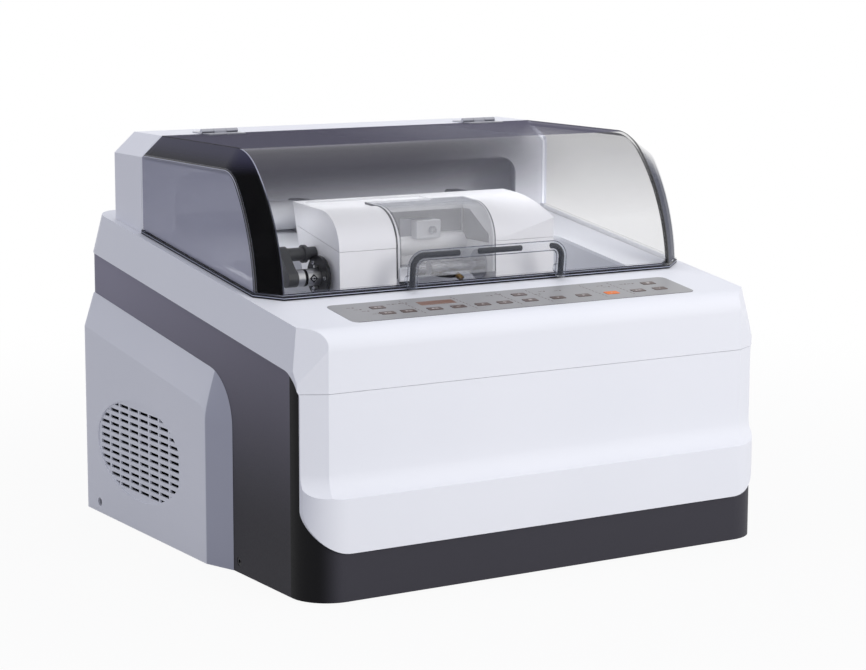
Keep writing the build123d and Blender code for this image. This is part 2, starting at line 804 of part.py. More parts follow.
# Basin
def make_basin():
    under = deck_plane.offset(-wall - seat / 2)
    above = under * Box(span, span, span, align=(Align.CENTER, Align.CENTER, Align.MIN))
    mouth_face = plan_box(mouth_left, mouth_right, mouth_front, mouth_rear, mouth_r)
    grown = plan_box(mouth_left - basin_wall, mouth_right + basin_wall, mouth_front - basin_wall,
                     mouth_rear + basin_wall, mouth_r + basin_wall)
    flange_face = plan_box(mouth_left - basin_flange, mouth_right + basin_flange, mouth_front - basin_flange,
                           mouth_rear + basin_flange, mouth_r + basin_flange)
    well_face = plan_box(well_left, well_right, well_front, well_rear, well_r)
    well_grown = plan_box(well_left - basin_wall, well_right + basin_wall, well_front - basin_wall,
                          well_rear + basin_wall, well_r + basin_wall)
    outer = prism_z(grown, basin_floor - basin_wall, lid_top)
    outer += prism_z(well_grown, well_floor - basin_wall, basin_floor)
    flange = prism_z(flange_face, basin_floor, lid_top)
    flange -= under.offset(-basin_wall) * Box(span, span, span, align=(Align.CENTER, Align.CENTER, Align.MAX))
    basin = outer + flange - above
    basin -= prism_z(mouth_face, basin_floor, lid_top)
    basin -= prism_z(well_face, well_floor, lid_top)
    basin -= rod(well_right - basin_wall, well_right + 2 * basin_wall, spindle_y, spindle_z, spindle_r + gap)
    basin -= rod_z(well_floor - 2 * basin_wall, well_floor + basin_wall, drain_x, spindle_y, drain_bore)
    basin -= rod_y(well_rear - basin_wall, well_rear + 2 * basin_wall, feed_x, feed_z, feed_r + seat)
    save("chamber_basin", basin)


# Spindle, wheels and drive
def wheel_face(w, depth):
    """Half section of a wheel, with a groove of that depth in its rim."""
    rim = [(w, wheel_r), (w / 2, wheel_r - depth), (0, wheel_r)] if depth else [(w, wheel_r), (0, wheel_r)]
    return outline([(0, spindle_r + fit), (w, spindle_r + fit)] + rim)


def wheel(x, w, depth):
    """A ring turned about the spindle."""
    ring = revolve(Plane.XY * wheel_face(w, depth), Axis.X)
    return Pos(x, spindle_y, spindle_z) * ring


def wheel_places():
    """Left faces of the four wheels."""
    places = [wheel_left]
    for w in (rough_w, rough_w, finish_w):
        places.append(places[-1] + w + wheel_gap)
    return places


def make_spindle():
    places = wheel_places()
    save("rough_wheels", solids_of(wheel(places[0], rough_w, 0), wheel(places[1], rough_w, 0)))
    save("finish_wheels", solids_of(wheel(places[2], finish_w, bevel_depth), wheel(places[3], finish_w, 0)))
    end = places[3] + finish_w
    shaft = rod(wheel_left - 2 * finish_w / 3, belt_x + belt_w, spindle_y, spindle_z, spindle_r)
    nut = RegularPolygon(spindle_r * 2, 6, major_radius=False)
    shaft += prism_x(Pos(spindle_y, spindle_z) * nut, wheel_left - finish_w / 2, wheel_left - wheel_gap / 2)
    shaft += rod(end + wheel_gap / 2, well_right - wheel_gap, spindle_y, spindle_z, 2 * spindle_r)
    for place in places[1:]:
        shaft += rod(place - wheel_gap + fit, place - fit, spindle_y, spindle_z, 2 * spindle_r)
    save("spindle_shaft", shaft)
    save("spindle_pulley", pulley(spindle_y, spindle_z, spindle_pulley_r, spindle_r + fit))
    rotor = pulley(motor_y, motor_z, motor_pulley_r, 0)
    rotor += rod(motor_left + motor_len / 2, belt_x + belt_w / 2, motor_y, motor_z, motor_shaft_r)
    save("motor_pulley", rotor)
    ends = [(spindle_y, spindle_z, spindle_pulley_r + gap), (motor_y, motor_z, motor_pulley_r + gap)]
    save("drive_belt", belt_loop(belt_x, belt_w - 2 * gap, ends, belt_t))
    start = well_right + basin_wall + seat
    stop = start + housing_len
    housing = rod(start, stop, spindle_y, spindle_z, housing_r)
    housing += rod(start, start + housing_flange_t, spindle_y, spindle_z, housing_flange_r)
    foot_mid = start + housing_len / 2
    housing += block(foot_mid - housing_foot_t, foot_mid + housing_foot_t, spindle_y - housing_r,
                     spindle_y + housing_r, tray_t, spindle_z)
    housing -= rod(start, stop, spindle_y, spindle_z, spindle_r + fit)
    housing -= rod(start + bearing_len, stop - bearing_len, spindle_y, spindle_z, housing_r / 2)
    save("spindle_housing", housing)
    motor = rod(motor_left, motor_left + motor_len, motor_y, motor_z, motor_r)
    motor += block(motor_left + motor_r / 2, motor_left + motor_len - motor_r / 2, motor_y - motor_foot_w / 2,
                   motor_y + motor_foot_w / 2, tray_t, motor_z)
    motor -= rod(motor_left + motor_len / 2 - gap, motor_left + motor_len + gap, motor_y, motor_z,
                 motor_shaft_r + fit)
    save("drive_motor", motor)


def pulley(y, z, r, bore):
    """A flat pulley between two flanges."""
    left, right = belt_x - belt_w / 2, belt_x + belt_w / 2
    flange = r + belt_t + gap
    shape = rod(left, right, y, z, r)
    shape += rod(left - pulley_flange, left, y, z, flange) + rod(right, right + pulley_flange, y, z, flange)
    if bore:
        shape -= rod(left - 2 * pulley_flange, right + 2 * pulley_flange, y, z, bore)
    return shape


# Carriage
def yoke_span():
    """Left and right ends of the yoke."""
    return sleeve_left - yoke_gap - ear_t, sleeve_right + yoke_gap + ear_t


def bracket_places():
    """Inner faces of the two rail brackets."""
    left, right = yoke_span()
    return left - travel_left - bracket_room, right + travel_right + bracket_room


def make_carriage():
    left, right = bracket_places()
    top = rail_z + sleeve_r
    front, rear = rail_y - sleeve_r - bracket_room, screw_y + sleeve_r
    side = outline([(front, deck_z(front) + seat), (rear, deck_z(rear) + seat), (rear, top), (front, top)],
                   [((rear, top), sleeve_r / 2), ((front, top), sleeve_r / 2)])
    brackets = []
    for x in (left - bracket_t, right):
        plate = prism_x(side, x, x + bracket_t)
        plate -= rod(x - gap, x + bracket_t + gap, rail_y, rail_z, rail_r + fit)
        plate -= rod(x - gap, x + bracket_t + gap, screw_y, rail_z, screw_r + fit)
        brackets.append(plate)
    rail = rod(left - bracket_t, right + bracket_t, rail_y, rail_z, rail_r)
    save("carriage_rail", solids_of(*brackets, rail))
    screw = rod(left - bracket_t - traverse_motor_len / 2, right + bracket_t, screw_y, rail_z, screw_r)
    save("traverse_screw", screw)
    motor = rod(left - bracket_t - traverse_motor_len, left - bracket_t - seat, screw_y, rail_z, traverse_motor_r)
    motor -= rod(left - bracket_t - traverse_motor_len / 2 - gap, left, screw_y, rail_z, screw_r + fit)
    save("traverse_motor", motor)
    yoke_left, yoke_right = yoke_span()
    yoke = block(yoke_left, yoke_right, yoke_y, yoke_y + yoke_t, rail_z - yoke_h / 2, rail_z + yoke_h / 2)
    for x in (yoke_left, yoke_right - ear_t):
        yoke += rod(x, x + ear_t, rail_y, rail_z, sleeve_r)
        yoke += block(x, x + ear_t, rail_y, yoke_y + yoke_t, rail_z - yoke_h / 2, rail_z + yoke_h / 2)
    middle = (yoke_left + yoke_right) / 2
    yoke += rod(middle - nut_len / 2, middle + nut_len / 2, screw_y, rail_z, nut_r)
    yoke += block(middle - nut_len / 2, middle + nut_len / 2, yoke_y, screw_y, rail_z - nut_r, rail_z)
    yoke -= rod(yoke_left - gap, yoke_right + gap, rail_y, rail_z, rail_r + fit)
    yoke -= rod(middle - nut_len, middle + nut_len, screw_y, rail_z, screw_r + fit)
    save("carriage_yoke", yoke)


# Head
def head_points(inset):
    """Corners of the head's side profile, drawn in by the inset."""
    return {
        "front_low": (head_front + inset, head_bottom + inset),
        "flat_end": (head_bottom_flat, head_bottom + inset),
        "rear_low": (head_bottom_rear_y - inset, head_bottom_rear_z + inset),
        "rear_mid": (head_part_rear_y - inset, head_part_rear),
        "rear_top": (head_rear_top_y - inset, head_top_rear - inset),
        "front_top": (head_front_mid + inset, head_top_front - inset),
        "front_mid": (head_front_mid + inset, head_part_front),
    }


def head_profile(inset):
    """The head's side profile: round nose, level top, slanting back."""
    p = head_points(inset)
    names = ["front_low", "flat_end", "rear_low", "rear_mid", "rear_top", "front_top", "front_mid"]
    return outline([p[name] for name in names], [(p["front_top"], head_nose_r - inset)])


def end_profile(inset):
    """The side profile at the right end, whose top slopes down to a square nose."""
    p = head_points(inset)
    rear = (end_slope_rear_y, end_slope_rear_z - inset)
    front = (head_front_mid + inset, end_slope_front_z - inset)
    slope_line = ThreePointArc(rear, (end_slope_mid_y, end_slope_mid_z - inset), front)
    rest = Polyline(front, p["front_mid"], p["front_low"], p["flat_end"], p["rear_low"], p["rear_mid"],
                    p["rear_top"], rear)
    return make_face([slope_line] + list(rest.edges()))


def dish():
    """What the shallow dish in the head's top takes off."""
    fall = (head_top_rear - head_top_front) / (head_rear_top_y - head_front_mid)
    y0, y1 = dish_front_y, dish_rear_y
    z0 = head_top_rear - dish_depth + fall * (y0 - head_rear_top_y)
    z1 = head_top_rear - dish_depth + fall * (y1 - head_rear_top_y)
    return prism_x(outline([(y0, z0), (y1, z1), (y1, lid_top), (y0, lid_top)]), head_left + dish_left_in, dish_right)


def part_line(lift):
    """Everything above the slanting joint between the head's two cases."""
    rise = (head_part_rear - head_part_front) / (head_part_rear_y - head_front_mid)
    y0, y1 = head_front - lid_half, rail_y
    z0 = head_part_front + lift + rise * (y0 - head_front_mid)
    z1 = head_part_front + lift + rise * (y1 - head_front_mid)
    return outline([(y0, z0), (y1, z1), (y1, lid_top), (y0, lid_top)])


def bay_cut():
    """The open bay between the head's two ends."""
    return block(bay_left, bay_right, head_front - lid_half, bay_depth_y, basin_floor, lid_top)


def make_head():
    solid = prism_x(head_profile(0), head_left, bay_right)
    solid += loft([Plane.YZ.offset(bay_right) * head_profile(0), Plane.YZ.offset(head_right) * end_profile(0)],
                  ruled=True)
    hollow_left = prism_x(head_profile(head_wall), head_left + head_wall, bay_left - head_wall)
    hollow_right = prism_x(head_profile(head_wall) & end_profile(head_wall), bay_right + head_wall,
                           head_right - head_wall)
    hollow_rear = prism_x(head_profile(head_wall), bay_left - head_wall, bay_right + head_wall)
    hollow_rear &= block(head_left, head_right, bay_depth_y + head_wall, rail_y, basin_floor, lid_top)
    case = solid - hollow_left - hollow_right - hollow_rear - bay_cut() - dish()
    upper_zone = prism_x(part_line(head_part_gap), head_left, head_right)
    lower_zone = prism_x(part_line(0), head_left, head_right)
    upper = case & upper_zone
    lower = case - lower_zone
    walls = [(head_left + head_wall, head_left + head_wall + boss_len),
             (bay_left - head_wall - boss_len, bay_left - head_wall),
             (bay_right + head_wall, bay_right + head_wall + boss_len),
             (head_right - head_wall - boss_len, head_right - head_wall)]
    for x0, x1 in walls:
        lower += rod(x0, x1, lens_y, lens_z, boss_r)
    lower += rod(bay_left - head_wall, bay_right + head_wall, lay_y, lay_z, lay_tube_r)
    for x in ((sleeve_left + arm_w / 2), (sleeve_right - arm_w * 3 / 2)):
        arm = outline([(head_bottom_rear_y, head_bottom_rear_z + lay_tube_r),
                       (mouth_rear - basin_flange, head_arm_knee_z), (rail_y, rail_z - sleeve_r * 2 / 3),
                       (rail_y, rail_z + sleeve_r * 2 / 3),
                       (head_part_rear_y - head_wall / 2, head_part_rear - 2 * head_part_gap)])
        lower += prism_x(arm, x, x + arm_w)
    lower += rod(sleeve_left, sleeve_right, rail_y, rail_z, sleeve_r)
    post_end = head_left + head_wall + boss_len
    lower += rod(head_left + head_wall, post_end, lens_y + post_back, lens_z + post_up, post_r + head_wall)
    lower -= rod(head_left - gap, post_end - head_wall, lens_y + post_back, lens_z + post_up, post_r + fit)
    lower -= rod(sleeve_left - gap, sleeve_right + gap, rail_y, rail_z, rail_r + fit)
    lower -= rod(head_left - gap, bay_left + gap, lens_y, lens_z, lens_shaft_r + fit)
    lower -= rod(bay_right - gap, head_right - head_wall, lens_y, lens_z, lens_pulley_r - head_wall / 2 + fit)
    lower -= rod(lens_belt_x_left - lens_belt_w, lens_belt_x_right + lens_belt_w, lay_y, lay_z, lay_shaft_r + fit)
    save("head_lower_case", lower)
    save("head_upper_case", upper)
    save("bay_guard", make_guard())
    motor_left_end = head_left + head_wall + boss_len + seat
    motor = rod(motor_left_end, motor_left_end + lens_motor_len, lay_y, lay_z, lens_motor_r)
    motor -= rod(motor_left_end + lens_motor_len / 3, motor_left_end + lens_motor_len + gap, lay_y, lay_z,
                 lay_shaft_r + fit)
    save("lens_motor", motor)
    ends = [(lens_y, lens_z, lens_pulley_r + gap), (lay_y, lay_z, lens_pulley_r + gap)]
    belts = [belt_loop(x, lens_belt_w, ends, lens_belt_t) for x in (lens_belt_x_left, lens_belt_x_right)]
    save("lens_belts", solids_of(*belts))


def make_guard():
    """Clear cover bent over the bay's front and top."""
    outer = prism_x(head_profile(-guard_rise), bay_left + gap, bay_right - gap)
    inner = prism_x(head_profile(guard_t - guard_rise), bay_left, bay_right)
    guard = outer - inner
    front = block(bay_left, bay_right, head_front - lid_half, bay_depth_y - gap, head_bottom + boss_r, lid_top)
    return guard & front


def make_lens_shafts():
    face = lens_plane - lens_gap / 2
    neck = face - chuck_len
    shaft = rod(head_left - flange_stand - flange_t - coupling_len, neck, lens_y, lens_z, lens_shaft_r)
    shaft += rod(neck, face, lens_y, lens_z, chuck_r)
    shaft += rod(lens_belt_x_left - lens_belt_w / 2 - gap, lens_belt_x_left + lens_belt_w / 2 + gap, lens_y, lens_z,
                 lens_pulley_r)
    save("lens_shaft_left", shaft)
    left = head_left - flange_stand
    flange = rod(left - flange_t, left, lens_y, lens_z, flange_r)
    for side in (-1, 1):
        flange += rod(left - flange_t - pattern_pin_len, left - flange_t, lens_y, lens_z + side * pattern_pin_out,
                      pattern_pin_r)
    flange += rod(left - flange_t - coupling_len, left - flange_t, lens_y, lens_z, coupling_r)
    flange -= rod(left - flange_t - coupling_len - gap, left + gap, lens_y, lens_z, lens_shaft_r + fit)
    save("pattern_flange", flange)
    face = lens_plane + lens_gap / 2
    neck = face + chuck_len
    right = head_right - head_wall - boss_len - clamp_travel
    shaft = rod(neck, right, lens_y, lens_z, lens_shaft_r)
    shaft += rod(face, neck, lens_y, lens_z, chuck_r)
    save("lens_shaft_right", shaft)
    hub_r = lens_pulley_r - head_wall / 2
    hub_left = bay_right - gap - slinger_t
    hub_right = lens_belt_x_right + lens_belt_w / 2 + gap
    hub = rod(hub_left, hub_right, lens_y, lens_z, hub_r)
    hub += rod(hub_left, hub_left + slinger_t, lens_y, lens_z, slinger_r)
    hub += rod(lens_belt_x_right - lens_belt_w / 2 - gap, hub_right, lens_y, lens_z, lens_pulley_r)
    hub -= rod(hub_left - gap, hub_right + gap, lens_y, lens_z, lens_shaft_r + fit)
    save("clamp_pulley", hub)
    start = head_left + head_wall + boss_len + seat + lens_motor_len * 2 / 3
    lay = rod(start, lens_belt_x_right + lens_belt_w, lay_y, lay_z, lay_shaft_r)
    for x in (lens_belt_x_left, lens_belt_x_right):
        lay += rod(x - lens_belt_w / 2 - gap, x + lens_belt_w / 2 + gap, lay_y, lay_z, lens_pulley_r)
    save("lens_layshaft", lay)


def make_pattern_arm():
    """Arm that swings its collar away from the end of the lens shaft."""
    collar_right = head_left - flange_stand - flange_t - coupling_len - gap
    plate_right = collar_right - collar_len
    plate_left = plate_right - arm_t
    post_y, post_z = lens_y + post_back, lens_z + post_up
    arm = make_hull((Pos(lens_y, lens_z) * Circle(arm_half)).edges()
                    + (Pos(post_y, post_z) * Circle(arm_half)).edges())
    shape = prism_x(arm, plate_left, plate_right)
    shape += rod(plate_right, collar_right, lens_y, lens_z, collar_r)
    disc_right = head_left - flange_stand - flange_t - post_disc_gap
    shape += rod(plate_right, head_left + boss_len - gap, post_y, post_z, post_r)
    shape += rod(disc_right - post_disc_t, disc_right, post_y, post_z, post_disc_r)
    save("pattern_arm", shape)


# Base and rear
def make_base():
    tray = prism_z(plan_outline(cover_proud + wall + seat, housing_corner_r), 0, tray_t)
    for y in (-half_d / 2, half_d / 2):
        tray += block(-half_w + foot_in, half_w - foot_in, y, y + tray_rib_t, 0, tray_t + tray_rib_h)
    feet = []
    for x in (-half_w + foot_in, half_w - foot_in):
        for y in (-half_d + foot_in, half_d - foot_in):
            tray -= rod_z(-tray_t, 2 * tray_t, x, y, foot_stem_r + seat)
            foot = rod_z(-foot_proud, 0, x, y, foot_r) + rod_z(0, 2 * tray_t, x, y, foot_stem_r)
            feet.append(foot)
    save("base_tray", tray)
    save("rubber_feet", solids_of(*feet))


def make_rear_panel():
    """Sunk panel in the rear wall, with its fan grille and fittings."""
    outer_y = rear_in - seat
    face_y = outer_y - rear_sink
    dish = block(-rear_half, rear_half, face_y - panel_t, outer_y, rear_low, rear_high)
    dish -= block(-rear_half + panel_t, rear_half - panel_t, face_y, outer_y + panel_t,
                  rear_low + panel_t, rear_high - panel_t)
    flange = block(-rear_half - rear_flange, rear_half + rear_flange, outer_y - panel_t, outer_y,
                   rear_low - rear_flange, rear_high + rear_flange)
    flange -= block(-rear_half + panel_t, rear_half - panel_t, face_y, outer_y + panel_t,
                    rear_low + panel_t, rear_high - panel_t)
    panel = dish + flange
    low, high = face_y - 2 * panel_t, face_y + panel_t
    ring_pitch = (fan_hole_r - fan_hub_r) / (grille_rings + 1)
    hole = rod_y(low, high, fan_x, fan_z, fan_hole_r) - rod_y(low, high, fan_x, fan_z, fan_hub_r)
    for ring in range(1, grille_rings + 1):
        r = fan_hub_r + ring * ring_pitch
        hole -= (rod_y(low, high, fan_x, fan_z, r + grille_ring_w / 2)
                 - rod_y(low, high, fan_x, fan_z, r - grille_ring_w / 2))
    hole -= block(fan_x - grille_ring_w, fan_x + grille_ring_w, low, high, fan_z - fan_size, fan_z + fan_size)
    hole -= block(fan_x - fan_size, fan_x + fan_size, low, high, fan_z - grille_ring_w, fan_z + grille_ring_w)
    panel -= hole
    panel -= block(inlet_x - inlet_w / 2 - seat, inlet_x + inlet_w / 2 + seat, low, high,
                   inlet_z - inlet_h / 2 - seat, inlet_z + inlet_h / 2 + seat)
    panel -= block(switch_x - switch_w / 2 - gap, switch_x + switch_w / 2 + gap, low, high,
                   inlet_z - switch_h / 2 - switch_swing_gap, inlet_z + switch_h / 2 + switch_swing_gap)
    panel -= rod_y(low, high, drain_x, drain_z, drain_r + seat)
    panel -= rod_y(low, high, feed_x, feed_z, feed_r + seat)
    save("rear_panel", panel)
    rocker = block(switch_x - switch_w / 2, switch_x + switch_w / 2, face_y - switch_depth * 3 / 4,
                   face_y + switch_depth / 4, inlet_z - switch_h / 2, inlet_z + switch_h / 2)
    save("power_switch", rocker)
    socket = block(inlet_x - inlet_w / 2, inlet_x + inlet_w / 2, face_y - inlet_depth, face_y + inlet_rim,
                   inlet_z - inlet_h / 2, inlet_z + inlet_h / 2)
    socket += block(inlet_x - inlet_w / 2 - inlet_rim * 2, inlet_x + inlet_w / 2 + inlet_rim * 2, face_y + fit,
                    face_y + inlet_rim, inlet_z - inlet_h / 2 - inlet_rim * 2, inlet_z + inlet_h / 2 + inlet_rim * 2)
    socket -= block(inlet_x - inlet_w / 2 + inlet_rim, inlet_x + inlet_w / 2 - inlet_rim,
                    face_y - inlet_depth + 2 * inlet_rim, face_y + 2 * inlet_rim,
                    inlet_z - inlet_h / 2 + inlet_rim, inlet_z + inlet_h / 2 - inlet_rim)
    blade = inlet_rim / 2
    for dx, dz in ((-inlet_w / 4, -inlet_rim), (0, inlet_rim), (inlet_w / 4, -inlet_rim)):
        socket += block(inlet_x + dx - blade, inlet_x + dx + blade, face_y - inlet_depth + inlet_rim,
                        face_y - inlet_rim, inlet_z + dz - inlet_rim, inlet_z + dz + inlet_rim)
    save("power_inlet", socket)
    rear = face_y - panel_t - seat
    frame = block(fan_x - fan_size / 2, fan_x + fan_size / 2, rear - fan_t, rear,
                  fan_z - fan_size / 2, fan_z + fan_size / 2)
    frame -= rod_y(rear - 2 * fan_t, rear + fan_t, fan_x, fan_z, fan_hole_r + fan_tip_gap / 2)
    spoke = panel_t
    hub = rod_y(rear - fan_t, rear - fan_t + spoke, fan_x, fan_z, fan_hub_r)
    bar = fan_size / 2 - fan_tip_gap / 2
    bars = block(fan_x - spoke, fan_x + spoke, rear - fan_t, rear - fan_t + spoke, fan_z - bar, fan_z + bar)
    bars += block(fan_x - bar, fan_x + bar, rear - fan_t, rear - fan_t + spoke, fan_z - spoke, fan_z + spoke)
    axle = rod_y(rear - fan_t + spoke, rear - 2 * spoke, fan_x, fan_z, fan_hub_r / 4)
    save("fan_frame", frame + hub + bars + axle)
    rotor_back = rear - fan_t + spoke + gap
    rotor_front = rear - spoke
    rotor = rod_y(rotor_back, rotor_front, fan_x, fan_z, fan_hub_r)
    depth = rotor_front - rotor_back - 2 * spoke
    reach = fan_hole_r - fan_tip_gap / 2 - fan_hub_r / 2
    for number in range(fan_blades):
        blade = Rot(0, 0, blade_lean) * Box(blade_t, depth, reach)
        blade = Pos(0, 0, fan_hub_r / 2 + reach / 2) * blade
        turned = Rot(0, number * 360 / fan_blades, 0) * blade
        rotor += Pos(fan_x, (rotor_back + rotor_front) / 2, fan_z) * turned
    rotor -= rod_y(rotor_back - gap, rear - 2 * spoke + gap, fan_x, fan_z, fan_hub_r / 4 + fit)
    save("fan_rotor", rotor)


def make_water():
    """Drain from the well and feed to the nozzle, each one rigid pipe to its rear spigot."""
    panel_face = rear_in - seat - rear_sink
    outer_y = panel_face + spigot_len
    top = well_floor - basin_wall - seat / 2
    path = FilletPolyline((drain_x, spindle_y, top), (drain_x, spindle_y, drain_z), (drain_x, outer_y, drain_z),
                          radius=drain_bend)
    start = Plane(origin=path @ 0, z_dir=path % 0)
    drain = sweep(start * Circle(drain_r), path=path) - sweep(start * Circle(drain_bore), path=path)
    drain -= rod_y(panel_face, outer_y + drain_r, drain_x, drain_z, 2 * drain_r)
    drain += (rod_y(panel_face - drain_r, outer_y, drain_x, drain_z, drain_spigot_r)
              - rod_y(panel_face - 2 * drain_r, outer_y + drain_r, drain_x, drain_z, drain_bore))
    feed = rod_y(well_rear - 2 * feed_r, panel_face, feed_x, feed_z, feed_r)
    feed += rod_y(panel_face - feed_r, outer_y, feed_x, feed_z, feed_spigot_r)
    feed -= rod_y(well_rear - 3 * feed_r, outer_y + feed_r, feed_x, feed_z, feed_bore)
    save("water_lines", solids_of(drain, feed))


make_covers()
make_housing()
make_side_covers()
make_hood()
make_lid()
make_hinges()
make_pad()
make_basin()
make_spindle()
make_carriage()
make_head()
make_lens_shafts()
make_pattern_arm()
make_base()
make_rear_panel()
make_water()
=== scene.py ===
import math
from functools import partial

import bmesh
import bpy
from mathutils import Matrix, Vector


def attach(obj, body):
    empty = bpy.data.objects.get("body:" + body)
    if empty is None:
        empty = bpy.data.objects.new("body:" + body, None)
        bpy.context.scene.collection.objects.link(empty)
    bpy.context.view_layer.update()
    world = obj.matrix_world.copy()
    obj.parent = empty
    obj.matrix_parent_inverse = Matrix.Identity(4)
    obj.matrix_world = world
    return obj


# Automatic lens edger, dressed for the camera. Metres, in the same frame as the solids.
# Sizes below are written in millimetres and turned to metres by MM; places within a
# material are in metres, as its coordinates are.
MM = 0.001
FOOT = 2.5                  # rubber feet under the housing
DECK = math.radians(8.25)   # slope of the deck, rising to the back
DECK_MID = 300.0 + FOOT     # deck height over the middle of the body
SHAFT_Y, SHAFT_Z = -66.0, 292.0 + FOOT  # axis of the lens shafts
PHOTO_WIDE = 866            # pixels across the photograph
CREASE = 0.2405             # metres from the middle to the creases of the lid's cut corners
CHEEK = 0.26195             # metres from the middle to the inner faces of the lid's cheeks
ABS, ACRYLIC = 1.52, 1.49   # refractive indices

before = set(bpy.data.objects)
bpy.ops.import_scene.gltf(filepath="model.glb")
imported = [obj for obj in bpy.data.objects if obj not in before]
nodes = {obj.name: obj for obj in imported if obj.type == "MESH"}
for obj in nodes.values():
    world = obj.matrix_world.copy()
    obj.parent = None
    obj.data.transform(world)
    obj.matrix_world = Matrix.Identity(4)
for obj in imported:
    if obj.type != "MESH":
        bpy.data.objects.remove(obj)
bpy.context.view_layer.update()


def deck_z(y):
    """Height of the deck's surface, in millimetres."""
    return DECK_MID + math.tan(DECK) * y


def set_camera():
    """Camera of the photograph: azimuth, elevation and roll, then pixels and millimetres."""
    azimuth, elevation, roll = math.radians(-31.828), math.radians(9.216), math.radians(0.141)
    focal_px, across, up_shift, distance = 2386.875, -14.588, -7.625, 2635.005
    back = Vector((math.sin(azimuth) * math.cos(elevation),
                   -math.cos(azimuth) * math.cos(elevation), math.sin(elevation)))
    right = Vector((math.cos(azimuth), math.sin(azimuth), 0))
    up = back.cross(right)
    r = right * math.cos(roll) + up * math.sin(roll)
    u = up * math.cos(roll) - right * math.sin(roll)
    place = (Vector((0, 0, 200.0 + FOOT)) - across * r - up_shift * u + distance * back) * MM
    data = bpy.data.cameras.new("camera")
    data.sensor_width = 36.0
    data.lens = focal_px / PHOTO_WIDE * data.sensor_width
    data.clip_start, data.clip_end = 0.05, 50
    camera = bpy.data.objects.new("camera", data)
    camera.matrix_world = Matrix(((r.x, u.x, back.x, place.x), (r.y, u.y, back.y, place.y),
                                  (r.z, u.z, back.z, place.z), (0, 0, 0, 1)))
    bpy.context.scene.collection.objects.link(camera)
    bpy.context.scene.camera = camera


def srgb(code):
    """Linear colour from an sRGB hex value."""
    parts = [int(code[i:i + 2], 16) / 255 for i in (1, 3, 5)]
    linear = [p / 12.92 if p <= 0.04045 else ((p + 0.055) / 1.055) ** 2.4 for p in parts]
    return (*linear, 1.0)


def add_node(tree, kind, inputs=None, **settings):
    """Adds one node. An input is given a value, a colour as an sRGB hex value, the socket that
    feeds it, or the node that does, by the first of its outputs that is in use."""
    node = tree.nodes.new("ShaderNode" + kind)
    for key, value in settings.items():
        setattr(node, key, value)
    for key, value in (inputs or {}).items():
        if isinstance(value, bpy.types.Node):
            value = next(socket for socket in value.outputs if socket.enabled)
        if isinstance(value, bpy.types.NodeSocket):
            tree.links.new(value, node.inputs[key])
        else:
            node.inputs[key].default_value = srgb(value) if isinstance(value, str) else value
    return node


def new_material(name):
    """An empty node material, and add_node for its tree."""
    material = bpy.data.materials.new(name)
    material.use_nodes = True
    material.node_tree.nodes.clear()
    return material, partial(add_node, material.node_tree)


def moulded_plastic(name, colour, shade, roughness, grain_mm, depth, front=None):
    """Injection-moulded ABS: matt, with the fine grain of a spark-eroded mould. Its front may be
    of another tone, given as where along Y that starts to change, where it ends, and its colour."""
    material, new = new_material(name)
    place = new("TexCoord").outputs["Object"]
    # The mould's grain is about 0.3 mm and would not show, so it is drawn coarser
    grain = new("TexNoise", {"Vector": place, "Scale": 1000 / grain_mm, "Detail": 2.0,
                             "Roughness": 0.6})
    flow = new("TexNoise", {"Vector": place, "Scale": 1000 / 180, "Detail": 1.0})
    tint = new("Mix", {"Factor": flow, 6: colour, 7: shade}, data_type="RGBA")
    if front:
        y = new("SeparateXYZ", {"Vector": place}).outputs["Y"]
        reach = new("MapRange", {"Value": y, "From Min": front[0], "From Max": front[1],
                                 "To Min": 1.0, "To Max": 0.0})
        tint = new("Mix", {"Factor": reach, 6: tint, 7: front[2]}, data_type="RGBA")
    rough = new("MapRange", {"Value": grain, "From Min": 0.3, "From Max": 0.7,
                             "To Min": roughness - 0.04, "To Max": roughness + 0.04})
    bump = new("Bump", {"Height": grain, "Strength": depth, "Distance": 0.15 * MM})
    body = new("BsdfPrincipled", {"Base Color": tint, "Roughness": rough, "Normal": bump,
                                  "IOR": ABS})
    new("OutputMaterial", {0: body})
    return material


def smooth_plastic(name, colour, roughness):
    """Polished ABS or acrylic with faint handling marks in its gloss."""
    material, new = new_material(name)
    place = new("TexCoord").outputs["Object"]
    wipe = new("TexNoise", {"Vector": place, "Scale": 1000 / 14, "Detail": 3.0})
    rough = new("MapRange", {"Value": wipe, "To Min": roughness * 0.75, "To Max": roughness * 1.25})
    body = new("BsdfPrincipled", {"Base Color": colour, "Roughness": rough, "IOR": ACRYLIC})
    new("OutputMaterial", {0: body})
    return material


def metal(name, colour, roughness, line_mm, stretch):
    """Turned, ground or cast metal: tool marks stretched along one axis vary its gloss."""
    material, new = new_material(name)
    place = new("TexCoord").outputs["Object"]
    # The marks are about 0.1 mm apart and would not show, so they are drawn coarser
    aim = new("Mapping", {"Vector": place, "Scale": stretch})
    lines = new("TexNoise", {"Vector": aim, "Scale": 1000 / line_mm, "Detail": 3.0})
    rough = new("MapRange", {"Value": lines, "To Min": roughness * 0.7, "To Max": roughness * 1.3})
    bump = new("Bump", {"Height": lines, "Strength": 0.15, "Distance": 0.05 * MM})
    body = new("BsdfPrincipled", {"Base Color": colour, "Metallic": 1.0, "Roughness": rough,
                                  "Normal": bump})
    new("OutputMaterial", {0: body})
    return material


